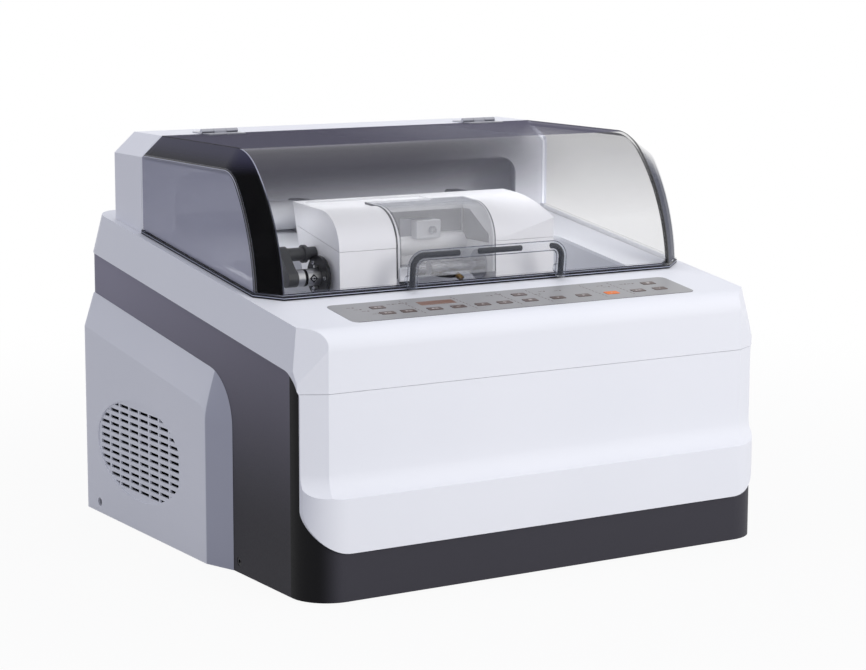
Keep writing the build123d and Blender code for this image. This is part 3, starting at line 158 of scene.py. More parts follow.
def smoked_acrylic():
    """Bent sheet of smoked acrylic: grey on top, clear low in front, black at its cut corners."""
    material, new = new_material("smoked_acrylic")
    place = new("TexCoord").outputs["Object"]
    x, y, z = new("SeparateXYZ", {"Vector": place}).outputs
    side = new("Math", {0: x}, operation="ABSOLUTE")
    strip = new("Math", {0: side, 1: CREASE}, operation="GREATER_THAN")
    cheek = new("Math", {0: side, 1: CHEEK}, operation="GREATER_THAN")
    on_paint = new("Math", {0: strip, 1: cheek}, operation="SUBTRACT")
    rightward = new("MapRange", {"Value": x, "From Min": -0.2, "From Max": 0.2})
    # The sheet's smoke fades downwards: dense over the bend, nearly clear where one looks in.
    # It is painted milder towards the right, the left darker as painted shade; the level top is
    # denser there
    fade = new("MapRange", {"Value": z, "From Min": 0.355, "From Max": 0.419, "To Min": 0.03,
                            "To Max": 0.90}, interpolation_type="SMOOTHSTEP")
    mild = new("MapRange", {"Value": z, "From Min": 0.34, "From Max": 0.43, "To Min": 0.05,
                            "To Max": 0.31})
    thin = new("MapRange", {"Value": x, "From Min": -0.09, "From Max": 0.17},
               interpolation_type="SMOOTHSTEP")
    front = new("Mix", {"Factor": thin, 2: fade, 3: mild})
    bent = new("Math", {0: z, 1: 0.4285}, operation="GREATER_THAN")
    top = new("MapRange", {"Value": x, "From Min": 0.10, "From Max": 0.20, "To Min": 0.66,
                           "To Max": 0.93})
    front = new("Mix", {"Factor": bent, 2: front, 3: top})
    # The left cheek is painted dark as the front is, a painted shade; the right one is nearly clear
    cheek_shade = new("Mix", {"Factor": rightward, 2: 0.60, 3: 0.08})
    # Painted all the way on the left; on the right only down the front
    down = new("MapRange", {"Value": y, "From Min": -0.098, "From Max": -0.060, "To Min": 0.90,
                            "To Max": 0.06}, interpolation_type="SMOOTHSTEP")
    strip_level = new("Mix", {"Factor": rightward, 2: 0.95, 3: down})
    alpha = new("Mix", {"Factor": strip, 2: front, 3: strip_level})
    alpha = new("Mix", {"Factor": cheek, 2: alpha, 3: cheek_shade})
    # Seen flat the sheet would mirror the white room, so its gloss gives way towards grazing angles
    graze = new("LayerWeight", {"Blend": 0.5})
    level = new("MapRange", {"Value": graze.outputs["Facing"], "From Min": 0.45, "From Max": 0.80,
                             "To Min": 0.5, "To Max": 0.0})
    dull = new("Mix", {"Factor": on_paint, 2: level, 3: 0.04})
    # The level top is painted lighter: painted light from above
    tone = new("MapRange", {"Value": z, "From Min": 0.4265, "From Max": 0.4292})
    tint = new("Mix", {"Factor": tone, 6: "#3A3944", 7: "#6B6976"}, data_type="RGBA")
    # The cut corners are painted inside, black on the left
    high = new("MapRange", {"Value": z, "From Min": 0.403, "From Max": 0.4265},
               interpolation_type="SMOOTHSTEP")
    paint = new("Mix", {"Factor": high, 6: "#08080A", 7: "#3D3C50"}, data_type="RGBA")
    paint = new("Mix", {"Factor": rightward, 6: paint, 7: "#3B3F50"}, data_type="RGBA")
    tint = new("Mix", {"Factor": strip, 6: tint, 7: paint}, data_type="RGBA")
    tint = new("Mix", {"Factor": cheek, 6: tint, 7: "#9A9CB3"}, data_type="RGBA")
    # A bright line is painted where light catches the glued creases between the sheets, a painted
    # highlight between a lap and a seam, both black
    lap = new("Math", {0: x, 1: -0.26272, 2: 0.00066}, operation="COMPARE")
    tint = new("Mix", {"Factor": lap, 6: tint, 7: paint}, data_type="RGBA")
    wide = new("Mix", {"Factor": rightward, 2: 0.0006, 3: 0.0020})
    inner = new("Math", {0: side, 1: CREASE, 2: wide}, operation="COMPARE")
    outer = new("Math", {0: side, 1: 0.2637, 2: 0.0003}, operation="COMPARE")
    outer = new("Mix", {"Factor": rightward, 2: outer, 3: 0.0})
    seam = new("Math", {0: x, 1: -0.26455, 2: 0.0004}, operation="COMPARE")
    low = new("MapRange", {"Value": z, "From Min": 0.3975, "From Max": 0.4175, "To Min": 1.0,
                           "To Max": 0.0})
    seam = new("Math", {0: seam, 1: low}, operation="MULTIPLY")
    glint = new("Math", {0: inner, 1: outer}, operation="MAXIMUM")
    # On the left it runs down the bend only; the level top's crease and the right one stay black
    level_top = new("Math", {0: z, 1: 0.4287}, operation="GREATER_THAN")
    black = new("Math", {0: level_top, 1: rightward}, operation="MAXIMUM")
    bend = new("MapRange", {"Value": z, "From Min": 0.375, "From Max": 0.405},
               interpolation_type="SMOOTHSTEP")
    bright = new("Mix", {"Factor": bend, 6: "#4A4B57", 7: "#A3A5B4"}, data_type="RGBA")
    shine = new("Mix", {"Factor": black, 6: bright, 7: "#0B0B10"}, data_type="RGBA")
    tint = new("Mix", {"Factor": glint, 6: tint, 7: shine}, data_type="RGBA")
    tint = new("Mix", {"Factor": seam, 6: tint, 7: "#0A0A0D"}, data_type="RGBA")
    glint = new("Math", {0: glint, 1: seam}, operation="MAXIMUM")
    # The polished rear edge, against the hood, is painted bright on both cheeks, a painted
    # highlight; on the right, over the inner part of its thickness, it is made to glow, a painted
    # glow for light piped along the sheet
    reach = new("Mix", {"Factor": rightward, 2: 0.1438, 3: 0.1420})
    rear = new("Math", {0: y, 1: reach}, operation="GREATER_THAN")
    edge = new("Math", {0: rear, 1: strip}, operation="MULTIPLY")
    inside = new("Math", {0: x, 1: 0.1313, 2: 0.1313}, operation="COMPARE")
    painted_glow = new("Math", {0: edge, 1: inside}, operation="MULTIPLY")
    painted_glow = new("Math", {0: painted_glow, 1: 0.65}, operation="MULTIPLY")
    tint = new("Mix", {"Factor": edge, 6: tint, 7: "#F4F5FA"}, data_type="RGBA")
    glint = new("Math", {0: glint, 1: lap}, operation="MAXIMUM")
    line = new("Math", {0: glint, 1: edge}, operation="MAXIMUM")
    alpha = new("Mix", {"Factor": line, 2: alpha, 3: 0.92})
    wipe = new("TexNoise", {"Vector": place, "Scale": 1000 / 40, "Detail": 2.0})
    rough = new("MapRange", {"Value": wipe, "To Min": 0.04, "To Max": 0.10})
    body = new("BsdfPrincipled", {"Base Color": tint, "Alpha": alpha, "Roughness": rough,
                                  "IOR": ACRYLIC, "Specular IOR Level": dull,
                                  "Emission Color": "#F4F5FA", "Emission Strength": painted_glow})
    new("OutputMaterial", {0: body})
    return material


def lid_rim_acrylic():
    """Edge strip round the lid's foot: two dark lines, a bright one between, and clear above."""
    material, new = new_material("acrylic_edge_strip")
    place = new("TexCoord").outputs["Object"]
    x, y, z = new("SeparateXYZ", {"Vector": place}).outputs
    fall = new("Math", {0: y, 1: -math.tan(DECK), 2: -DECK_MID * MM}, operation="MULTIPLY_ADD")
    rise = new("Math", {0: z, 1: fall}, operation="ADD")
    lines = new("Math", {0: rise, 1: 0.0038}, operation="LESS_THAN")
    glow = new("Math", {0: rise, 1: 0.0023, 2: 0.0004}, operation="COMPARE")
    # Along the right cheek the strip is clear as well, up to its black front corner
    right = new("Math", {0: x, 1: CREASE}, operation="GREATER_THAN")
    back = new("Math", {0: y, 1: -0.108}, operation="GREATER_THAN")
    bare = new("Math", {0: right, 1: back}, operation="MULTIPLY")
    wipe = new("TexNoise", {"Vector": place, "Scale": 1000 / 30, "Detail": 2.0})
    bright = new("Mix", {"Factor": wipe, 6: "#8A8FA4", 7: "#B9BDCB"}, data_type="RGBA")
    dark = new("Mix", {"Factor": glow, 6: "#0B0B0F", 7: bright}, data_type="RGBA")
    tint = new("Mix", {"Factor": lines, 6: "#8C8FA0", 7: dark}, data_type="RGBA")
    alpha = new("Mix", {"Factor": lines, 2: 0.10, 3: 0.96})
    alpha = new("Mix", {"Factor": bare, 2: alpha, 3: 0.10})
    body = new("BsdfPrincipled", {"Base Color": tint, "Alpha": alpha, "Roughness": 0.14,
                                  "IOR": ACRYLIC, "Specular IOR Level": 0.15})
    new("OutputMaterial", {0: body})
    return material


def clear_acrylic(name, middle, edge, thin, thick, outline_shade, ends=()):
    """Clear cast acrylic: a faint body colour, deeper where the path through it is long, and
    painted shade darken it towards the outline, as in a rod or a bent sheet. Each listed end is its
    place along X, half its width and the colour
    painted on its cut edge: bright as a painted highlight, dark as painted shade."""
    material, new = new_material(name)
    place = new("TexCoord").outputs["Object"]
    wipe = new("TexNoise", {"Vector": place, "Scale": 1000 / 25, "Detail": 2.0})
    rough = new("MapRange", {"Value": wipe, "To Min": 0.03, "To Max": 0.08})
    turn = new("LayerWeight", {"Blend": 0.5})
    rim = new("MapRange", {"Value": turn.outputs["Facing"], "From Min": outline_shade[0],
                           "From Max": outline_shade[1]}, interpolation_type="SMOOTHSTEP")
    tint = new("Mix", {"Factor": rim, 6: middle, 7: edge}, data_type="RGBA")
    alpha = new("Mix", {"Factor": rim, 2: thin, 3: thick})
    x = new("SeparateXYZ", {"Vector": place}).outputs["X"]
    for middle_x, reach, shade in ends:
        cut = new("Math", {0: x, 1: middle_x, 2: reach}, operation="COMPARE")
        tint = new("Mix", {"Factor": cut, 6: tint, 7: shade}, data_type="RGBA")
        alpha = new("Mix", {"Factor": cut, 2: alpha, 3: 0.75})
    body = new("BsdfPrincipled", {"Base Color": tint, "Alpha": alpha, "Roughness": rough,
                                  "IOR": ACRYLIC, "Specular IOR Level": 0.22})
    new("OutputMaterial", {0: body})
    return material


def split_at_x(name, left, right, x_mm, metallic, groove):
    """Turned steel, bright on one side of a place along its shaft and blackened on the other, with
    fine rings in its gloss; the groove, given by its middle and half its width, is dark."""
    material, new = new_material(name)
    place = new("TexCoord").outputs["Object"]
    x = new("SeparateXYZ", {"Vector": place}).outputs["X"]
    side = new("Math", {0: x, 1: x_mm * MM}, operation="GREATER_THAN")
    turned = new("Mapping", {"Vector": place, "Scale": (1.0, 0.1, 0.1)})
    lines = new("TexNoise", {"Vector": turned, "Scale": 1000 / 0.9, "Detail": 3.0})
    tint = new("Mix", {"Factor": side, 6: left, 7: right}, data_type="RGBA")
    cut = new("Math", {0: x, 1: groove[0] * MM, 2: groove[1] * MM}, operation="COMPARE")
    tint = new("Mix", {"Factor": cut, 6: tint, 7: "#1B1B1D"}, data_type="RGBA")
    metal_part = new("Mix", {"Factor": side, 2: metallic[0], 3: metallic[1]})
    rough = new("MapRange", {"Value": lines, "To Min": 0.24, "To Max": 0.42})
    body = new("BsdfPrincipled", {"Base Color": tint, "Metallic": metal_part, "Roughness": rough})
    new("OutputMaterial", {0: body})
    return material


def enamelled_arm():
    """Dark enamelled casting with its collar, low on its right side, turned bright."""
    material, new = new_material("steel_enamelled_arm")
    place = new("TexCoord").outputs["Object"]
    x, _, z = new("SeparateXYZ", {"Vector": place}).outputs
    right = new("Math", {0: x, 1: -0.1915}, operation="GREATER_THAN")
    low = new("Math", {0: z, 1: 0.3045}, operation="LESS_THAN")
    collar = new("Math", {0: right, 1: low}, operation="MULTIPLY")
    skin = new("TexNoise", {"Vector": place, "Scale": 1000 / 1.2, "Detail": 2.0})
    paint = new("Mix", {"Factor": skin, 6: "#434446", 7: "#38393B"}, data_type="RGBA")
    tint = new("Mix", {"Factor": collar, 6: paint, 7: "#D2D3D6"}, data_type="RGBA")
    bump = new("Bump", {"Height": skin, "Strength": 0.15, "Distance": 0.15 * MM})
    body = new("BsdfPrincipled", {"Base Color": tint, "Metallic": collar, "Roughness": 0.38,
                                  "Normal": bump})
    new("OutputMaterial", {0: body})
    return material


def board_and_display():
    """Green circuit board; the display on it is a red-brown filter over dark digits."""
    material, new = new_material("epoxy_board_display")
    place = new("TexCoord").outputs["Object"]
    x, y, _ = new("SeparateXYZ", {"Vector": place}).outputs
    wide = new("Math", {0: x, 1: -0.09094, 2: 0.0212}, operation="COMPARE")
    deep = new("Math", {0: y, 1: -0.1802, 2: 0.0066}, operation="COMPARE")
    glass = new("Math", {0: wide, 1: deep}, operation="MULTIPLY")
    speck = new("TexNoise", {"Vector": place, "Scale": 1000 / 6, "Detail": 3.0})
    mask = new("Mix", {"Factor": speck, 6: "#1A4F31", 7: "#256B42"}, data_type="RGBA")
    tint = new("Mix", {"Factor": glass, 6: mask, 7: "#7C5B4C"}, data_type="RGBA")
    body = new("BsdfPrincipled", {"Base Color": tint, "Roughness": 0.30})
    new("OutputMaterial", {0: body})
    return material


def charcoal_body():
    """Charcoal ABS of the lower body: near black in front, its sides painted paler as a sheen."""
    material, new = new_material("abs_moulded_charcoal")
    place = new("TexCoord").outputs["Object"]
    grain = new("TexNoise", {"Vector": place, "Scale": 1000 / 1.4, "Detail": 2.0, "Roughness": 0.6})
    x, y, z = new("SeparateXYZ", {"Vector": place}).outputs
    side = new("Math", {0: x}, operation="ABSOLUTE")
    # The side walls are painted paler than the front, most of all high up at the rear: a painted
    # sheen.
    # They are painted darker towards the bottom, and the rounded left corner near black: painted
    # shade
    turn = new("MapRange", {"Value": side, "From Min": 0.2765, "From Max": 0.2793},
               interpolation_type="SMOOTHSTEP")
    corner = new("MapRange", {"Value": x, "From Min": -0.244, "From Max": -0.268},
                 interpolation_type="SMOOTHSTEP")
    front = new("Mix", {"Factor": corner, 6: "#3D3C42", 7: "#0B0B0E"}, data_type="RGBA")
    height = new("MapRange", {"Value": z, "From Min": 0.050, "From Max": 0.300, "To Min": 0.15,
                              "To Max": 1.0}, interpolation_type="SMOOTHSTEP")
    along = new("MapRange", {"Value": y, "From Min": -0.17, "From Max": 0.20})
    sheen_and_shade_wall = new("Mix", {"Factor": along, 6: "#7E7B87", 7: "#9592A0"}, data_type="RGBA")
    sheen_and_shade_wall = new("Mix", {"Factor": height, 6: "#000000", 7: sheen_and_shade_wall}, data_type="RGBA")
    behind = new("Math", {0: y, 1: -0.2150}, operation="GREATER_THAN")
    turn = new("Math", {0: turn, 1: behind}, operation="MULTIPLY")
    tint = new("Mix", {"Factor": turn, 6: front, 7: sheen_and_shade_wall}, data_type="RGBA")
    rough = new("MapRange", {"Value": grain, "From Min": 0.3, "From Max": 0.7, "To Min": 0.50,
                             "To Max": 0.60})
    bump = new("Bump", {"Height": grain, "Strength": 0.35, "Distance": 0.15 * MM})
    body = new("BsdfPrincipled", {"Base Color": tint, "IOR": 1.45, "Roughness": rough,
                                  "Specular IOR Level": 0.15, "Normal": bump})
    new("OutputMaterial", {0: body})
    return material


def rubber(name, colour):
    """Moulded rubber: dull, faintly mottled."""
    return moulded_plastic(name, colour, "#0C0C0D", 0.75, 1.2, 0.3)


def wheel_grit(name, colour, shade, grit_mm):
    """Sintered diamond grit in a metal bond: a dull, speckled and rough face."""
    material, new = new_material(name)
    place = new("TexCoord").outputs["Object"]
    # The grains are 0.05 to 0.2 mm and would not show, so they are drawn coarser
    grit = new("TexVoronoi", {"Vector": place, "Scale": 1000 / grit_mm})
    tint = new("Mix", {"Factor": grit, 6: colour, 7: shade}, data_type="RGBA")
    bump = new("Bump", {"Height": grit, "Strength": 0.6, "Distance": 0.2 * MM})
    body = new("BsdfPrincipled", {"Base Color": tint, "Metallic": 0.6, "Roughness": 0.5,
                                  "Normal": bump})
    new("OutputMaterial", {0: body})
    return material


finish = {
    # Moulded shells: matt, whiter on the head, and on the hood as painted light; cooler on the
    # sides and the basin
    "cover": moulded_plastic("abs_moulded_white", "#EBECF0", "#E5E7EC", 0.48, 1.4, 0.25),
    "body": charcoal_body(),
    # The side covers' front edge is painted darker: painted shade by the joint
    "side": moulded_plastic("abs_moulded_grey", "#E6E7EC", "#E0E2E8", 0.50, 1.4, 0.30,
                            (-0.0560, -0.0545, "#A9ABB8")),
    # The hood is of the covers' white, painted whiter to lift its shaded side: painted light
    "hood": moulded_plastic("abs_moulded_hood", "#EEEFF4", "#E9EAF0", 0.46, 1.4, 0.20),
    "head": moulded_plastic("abs_moulded_head", "#F2F2F4", "#ECECEF", 0.42, 1.2, 0.15),
    "basin": moulded_plastic("polypropylene_basin", "#DCDDE2", "#D0D2D8", 0.40, 1.6, 0.10),
    # Sheets and rods of acrylic: glossy, and seen through
    "lid": smoked_acrylic(),
    "edge": lid_rim_acrylic(),
    # The handle's darker outline and the guard's bright and dark cut edges are painted highlight
    # and painted shade
    "handle": clear_acrylic("acrylic_rod_clear", "#C3CBDC", "#2B3144", 0.06, 0.85, (0.40, 0.74)),
    "guard": clear_acrylic("acrylic_sheet_clear", "#ECEDF0", "#B9BCC2", 0.20, 0.42, (0.50, 0.85), (
        (-0.0880, 0.0007, "#4A4B50"), (-0.0860, 0.0009, "#F4F5F8"), (-0.0838, 0.0005, "#6E6F75"),
        (0.0340, 0.0006, "#77787E"), (0.0322, 0.0007, "#F2F3F6"))),
    "core": smooth_plastic("acrylic_core_navy", "#070A12", 0.15),
    # Ground, brushed and cast metal, and dark plastic and steel: dull gloss with marks in it
    "steel": metal("steel_ground", "#B9BABF", 0.26, 1.0, (0.1, 1.0, 1.0)),
    "plate": metal("steel_brushed_plate", "#AEAFB8", 0.32, 0.8, (0.08, 1.0, 1.0)),
    "alu": metal("aluminium_cast", "#B4B5B9", 0.42, 3.0, (1.0, 1.0, 1.0)),
    "black": moulded_plastic("abs_moulded_black", "#1B1B1E", "#151517", 0.45, 1.2, 0.2),
    "oxide": metal("steel_black_oxide", "#2A2A2D", 0.38, 1.2, (0.2, 1.0, 1.0)),
    "arm": enamelled_arm(),
    "pad": moulded_plastic("rubber_pad_dark", "#2B2D2C", "#232524", 0.60, 1.2, 0.2),
    # Grey sheets that stand for shade in the head's bay: painted shade
    "shade_sheet": moulded_plastic("abs_grey_painted_shade", "#75767A", "#6B6C70", 0.50, 1.2, 0.2),
    "coupling": split_at_x("steel_coupling_flange", "#C9CACC", "#1D1E20", -165.6, (1.0, 0.4),
                           (-182.0, 1.6)),
    "brass": metal("brass_turned", "#7C6540", 0.34, 0.9, (1.0, 0.2, 0.2)),
    # Painted and printed parts, and the keys: even colour with a soft gloss
    "casing": smooth_plastic("abs_motor_casing", "#D9DADF", 0.40),
    "mark": smooth_plastic("ink_white", "#BEB9B5", 0.45),
    "ink": smooth_plastic("ink_brown", "#62524C", 0.45),
    "enamel": smooth_plastic("steel_enamel_dark", "#2B2C30", 0.35),
    "overlay": moulded_plastic("polycarbonate_printed_grey", "#9B9B9C", "#979798", 0.38, 0.8,
                               0.08, (-0.2205, -0.2202, "#4E4E4D")),
    "key": smooth_plastic("abs_key_brown", "#5C4D49", 0.35),
    "orange": smooth_plastic("abs_key_orange", "#EA7405", 0.40),
    "board": board_and_display(),
    # What the inside and the table side show: black rubber, gritty wheels and grey pipe
    "belt": rubber("neoprene_belt", "#141414"),
    "foot": rubber("rubber_foot", "#161617"),
    "bronze": wheel_grit("diamond_bronze_bond", "#9A8250", "#6E5C38", 0.9),
    "rough_grit": wheel_grit("diamond_steel_bond", "#6B675F", "#4A4742", 1.6),
    "pipe": smooth_plastic("pvc_pipe_grey", "#B9BCC4", 0.30),
}

wears = {
    "cover": ["front_panel", "top_cover"],
    "body": ["lower_body", "rear_panel"],
    "side": ["side_cover_left", "side_cover_right"],
    "hood": ["rear_hood"],
    "head": ["head_lower_case", "head_upper_case"],
    "basin": ["chamber_basin"],
    "lid": ["lid_shell"],
    "edge": ["lid_rim"],
    "handle": ["lid_handle"],
    "guard": ["bay_guard"],
    "steel": ["spindle_shaft", "traverse_screw", "lens_shaft_left", "lens_shaft_right",
              "clamp_pulley", "lens_layshaft"],
    "plate": ["hood_hinge_leaves", "lid_hinge_leaves"],
    "alu": ["spindle_housing", "carriage_rail", "carriage_yoke", "spindle_pulley", "motor_pulley"],
    "black": ["power_inlet", "fan_frame", "fan_rotor", "power_switch"],
    "coupling": ["pattern_flange"],
    "arm": ["pattern_arm"],
    "enamel": ["drive_motor", "lens_motor", "base_tray"],
    "casing": ["traverse_motor"],
    "overlay": ["keypad_overlay"],
    "key": ["key_%02d" % number for number in range(1, 16) if number != 12],
    "orange": ["key_12"],
    "board": ["control_board"],
    "belt": ["drive_belt", "lens_belts"],
    "foot": ["rubber_feet"],
    "bronze": ["finish_wheels"],
    "rough_grit": ["rough_wheels"],
    "pipe": ["water_lines"],
}


def dress_nodes():
    """Gives every solid its finish."""
    for key, names in wears.items():
        for name in names:
            for material_slot in nodes[name].material_slots:
                material_slot.link = "OBJECT"
                material_slot.material = finish[key]


# Modelling, by hand: a primitive at its size and place, shaped in edit mode, then finished
def alone(piece=None):
    """Deselects everything, then picks the one piece, if given."""
    bpy.ops.object.select_all(action="DESELECT")
    if piece is not None:
        piece.select_set(True)
        bpy.context.view_layer.objects.active = piece


def start(name):
    """Names the new primitive and sets its place into its mesh."""
    piece = bpy.context.object
    piece.name = piece.data.name = name
    bpy.ops.object.transform_apply(location=True, rotation=True, scale=True)
    return piece


def slab(name, low, high):
    """A box between two corners."""
    alone()
    bpy.ops.mesh.primitive_cube_add(size=1, location=[(a + b) / 2 * MM for a, b in zip(low, high)],
                                    scale=[(b - a) * MM for a, b in zip(low, high)])
    return start(name)


def bar(name, radius, foot, head, sides=32):
    """A round bar between two points."""
    line = Vector(head) - Vector(foot)
    alone()
    bpy.ops.mesh.primitive_cylinder_add(vertices=sides, radius=radius * MM, depth=line.length * MM,
                                        location=(Vector(head) + Vector(foot)) / 2 * MM,
                                        rotation=line.to_track_quat("Z", "Y").to_euler())
    return start(name)


def pick(piece, rule):
    """Opens the piece in edit mode, with the faces picked that the rule takes by middle and
    normal."""
    alone(piece)
    bpy.ops.object.mode_set(mode="EDIT")
    bpy.ops.mesh.select_mode(type="FACE")
    bpy.ops.mesh.select_all(action="DESELECT")
    mesh = bmesh.from_edit_mesh(piece.data)
    for face in mesh.faces:
        face.select_set(bool(rule(face.calc_center_median() / MM, face.normal)))
    bmesh.update_edit_mesh(piece.data)


def draw_out(distance):
    """Extrudes the picked faces along their normals and leaves edit mode."""
    bpy.ops.mesh.extrude_region_shrink_fatten(TRANSFORM_OT_shrink_fatten={"value": distance * MM})
    bpy.ops.object.mode_set(mode="OBJECT")


def looks_front(_, normal):
    """Picks the faces that look to the front."""
    return normal.y < -0.9


def looks_back(_, normal):
    """Picks the faces that look to the rear."""
    return normal.y > 0.9


def recess(piece, rule, rim, depth):
    """Insets the picked faces and sinks them."""
    pick(piece, rule)
    bpy.ops.mesh.inset(thickness=rim * MM)
    draw_out(-depth)


def cut_with(piece, tool):
    """Cuts the tool's shape out of the piece."""
    alone(piece)
    cut = piece.modifiers.new("cut", "BOOLEAN")
    cut.operation, cut.object, cut.solver = "DIFFERENCE", tool, "EXACT"
    bpy.ops.object.modifier_apply(modifier=cut.name)
    bpy.data.objects.remove(tool)


def join(name, pieces):
    """Joins pieces into one."""
    alone(pieces[0])
    for piece in pieces[1:]:
        piece.select_set(True)
    bpy.ops.object.join()
    pieces[0].name = pieces[0].data.name = name
    return pieces[0]


def copy_to(piece, name, shift, degrees, around):
    """A copy with its own mesh, moved, and turned about X, Y or Z through its new place."""
    twin = piece.copy()
    twin.data = piece.data.copy()
    bpy.context.scene.collection.objects.link(twin)
    alone(twin)
    twin.name = twin.data.name = name
    twin.location = Vector(shift) * MM
    twin.rotation_euler["XYZ".index(around)] = math.radians(degrees)
    bpy.ops.object.transform_apply(location=True, rotation=True, scale=True)
    return twin


def set_finish(piece, key, body, bevel=0.0, steps=2):
    """Breaks the edges, shades, gives the finish and seats the piece on its body."""
    alone(piece)
    if bevel:
        edge = piece.modifiers.new("edge", "BEVEL")
        edge.width, edge.segments = bevel * MM, steps
        edge.limit_method, edge.angle_limit = "ANGLE", math.radians(40)
        bpy.ops.object.modifier_apply(modifier=edge.name)
    bpy.ops.object.shade_smooth_by_angle(angle=math.radians(35))
    piece.data.materials.clear()
    piece.data.materials.append(finish[key])
    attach(piece, body)


def socket_screw(name, radius, proud):
    """A socket-head screw at the origin, its head along +Z, with a hexagon socket."""
    screw = bar(name, radius, (0, 0, -radius / 2), (0, 0, proud), 28)
    tool = bar(name + "_tool", radius * 0.5, (0, 0, proud - radius * 0.55),
               (0, 0, proud + radius), 6)
    cut_with(screw, tool)
    return screw


# Key pad: its middle and half its size, and each key's place as shares of that and its sign
PAD_Y, PAD_HALF_X, PAD_HALF_UP = -191.0, 210.5, 30.3
KEYS = [(-0.762, 0.35, "bars"), (-0.76, -0.3, "bars"), (-0.645, -0.3, "bars"),
        (-0.498, -0.3, "bars"), (-0.364, -0.3, "minus"), (-0.225, -0.3, "up"),
        (-0.098, -0.3, "plus"), (0.052, 0.4, "left"), (0.052, -0.3, "square"),
        (0.217, -0.3, "down"), (0.371, -0.3, "right"), (0.544, -0.3, "ring"),
        (0.708, -0.3, "bars"), (0.844, 0.4, "square"), (0.844, -0.3, "ring")]
# The strips of each sign: place across and up, width and depth, then a turn and a shape's sides
SIGNS = {
    "bars": [(-2.2, 0.0, 2.6, 2.6), (2.2, 0.9, 3.8, 0.8), (2.2, -0.9, 3.8, 0.8)],
    "minus": [(0.0, 0.0, 4.4, 1.0)],
    "plus": [(0.0, 0.0, 4.4, 1.0), (0.0, 1.35, 1.0, 1.7), (0.0, -1.35, 1.0, 1.7)],
    "up": [(0.0, 0.0, 4.4, 0.0, 0.0, 3)],
    "down": [(0.0, 0.0, 4.4, 0.0, math.pi, 3)],
    "left": [(0.0, 0.0, 4.4, 0.0, math.pi / 2, 3)],
    "right": [(0.0, 0.0, 4.4, 0.0, -math.pi / 2, 3)],
    "square": [(0.0, 0.0, 3.6, 3.6)],
    "ring": [(0.0, 0.0, 1.8, 0.0, 0.0, 20)],
}
SIGN_THICK, SIGN_LIFT = 0.08, 0.345  # a sign's ink, and the key's top over the printed sheet
INK_THICK, LAMP_THICK = 0.05, 0.06
DASHED = (-127.0, -66.0, -11.0, 27.0, 96.0, 132.0)
LAMPS = ((-186.0, 16.0), (-181.0, 9.0), (-176.0, 2.0), (-170.0, -9.0), (-139.0, 17.0),
         (-131.0, 17.0), (-123.0, 17.0), (-20.0, 17.0), (-8.0, 19.0), (34.0, 8.0), (45.0, 16.0),
         (64.0, 14.0), (120.0, 17.0), (126.0, 12.0), (150.0, 16.0), (160.0, 16.0))


def on_pad(across, up, lift):
    """A point in millimetres on the key pad, lifted off its printed face."""
    n = 0.2 + lift
    return Vector((across, PAD_Y + up * math.cos(DECK) - n * math.sin(DECK),
                   deck_z(PAD_Y) + up * math.sin(DECK) + n * math.cos(DECK)))


def pad_strip(name, across, up, wide, deep, thick, lift, turn=0.0, sides=0):
    """A thin printed mark that lies on the pad; with sides it is a regular shape."""
    alone()
    place = on_pad(across, up, lift + thick / 2) * MM
    if sides:
        bpy.ops.mesh.primitive_cylinder_add(vertices=sides, radius=wide / 2 * MM, depth=thick * MM)
    else:
        bpy.ops.mesh.primitive_cube_add(size=1, scale=(wide * MM, deep * MM, thick * MM))
    mark = start(name)
    mark.rotation_euler = (DECK, 0, 0)
    mark.location = place
    if turn:
        lie = Matrix.Rotation(DECK, 3, "X") @ Matrix.Rotation(turn, 3, "Z")
        mark.rotation_euler = lie.to_euler()
    bpy.ops.object.transform_apply(location=True, rotation=True, scale=True)
    return mark


def print_key_marks():
    """White signs on the keys: arrows, bars, a cross, squares and rings, as on any such pad."""
    for number, (u, v, sign) in enumerate(KEYS, start=1):
        name = "key_mark_%02d" % number
        parts = [pad_strip(name + "_%d" % count, u * PAD_HALF_X + x, v * PAD_HALF_UP + y, wide,
                           deep, SIGN_THICK, SIGN_LIFT, *shape)
                 for count, (x, y, wide, deep, *shape) in enumerate(SIGNS[sign])]
        set_finish(join(name, parts), "mark", "key_%02d" % number)


def print_pad():
    """Printed on the pad: dashed lines between its groups and small brown lamps by the keys."""
    parts = []
    for across in DASHED:
        for dash in range(9):
            parts.append(pad_strip("dash", across + dash * 0.6, 23.0 - dash * 5.2, 0.8, 3.4,
                                   INK_THICK, 0.0))
    for across, up in LAMPS:
        parts.append(pad_strip("lamp", across, up, 2.4, 0.0, LAMP_THICK, 0.0, sides=12))
        parts.append(pad_strip("tick", across - 5.2, up, 4.2, 0.7, INK_THICK, 0.0))
    set_finish(join("pad_print", parts), "ink", "housing")


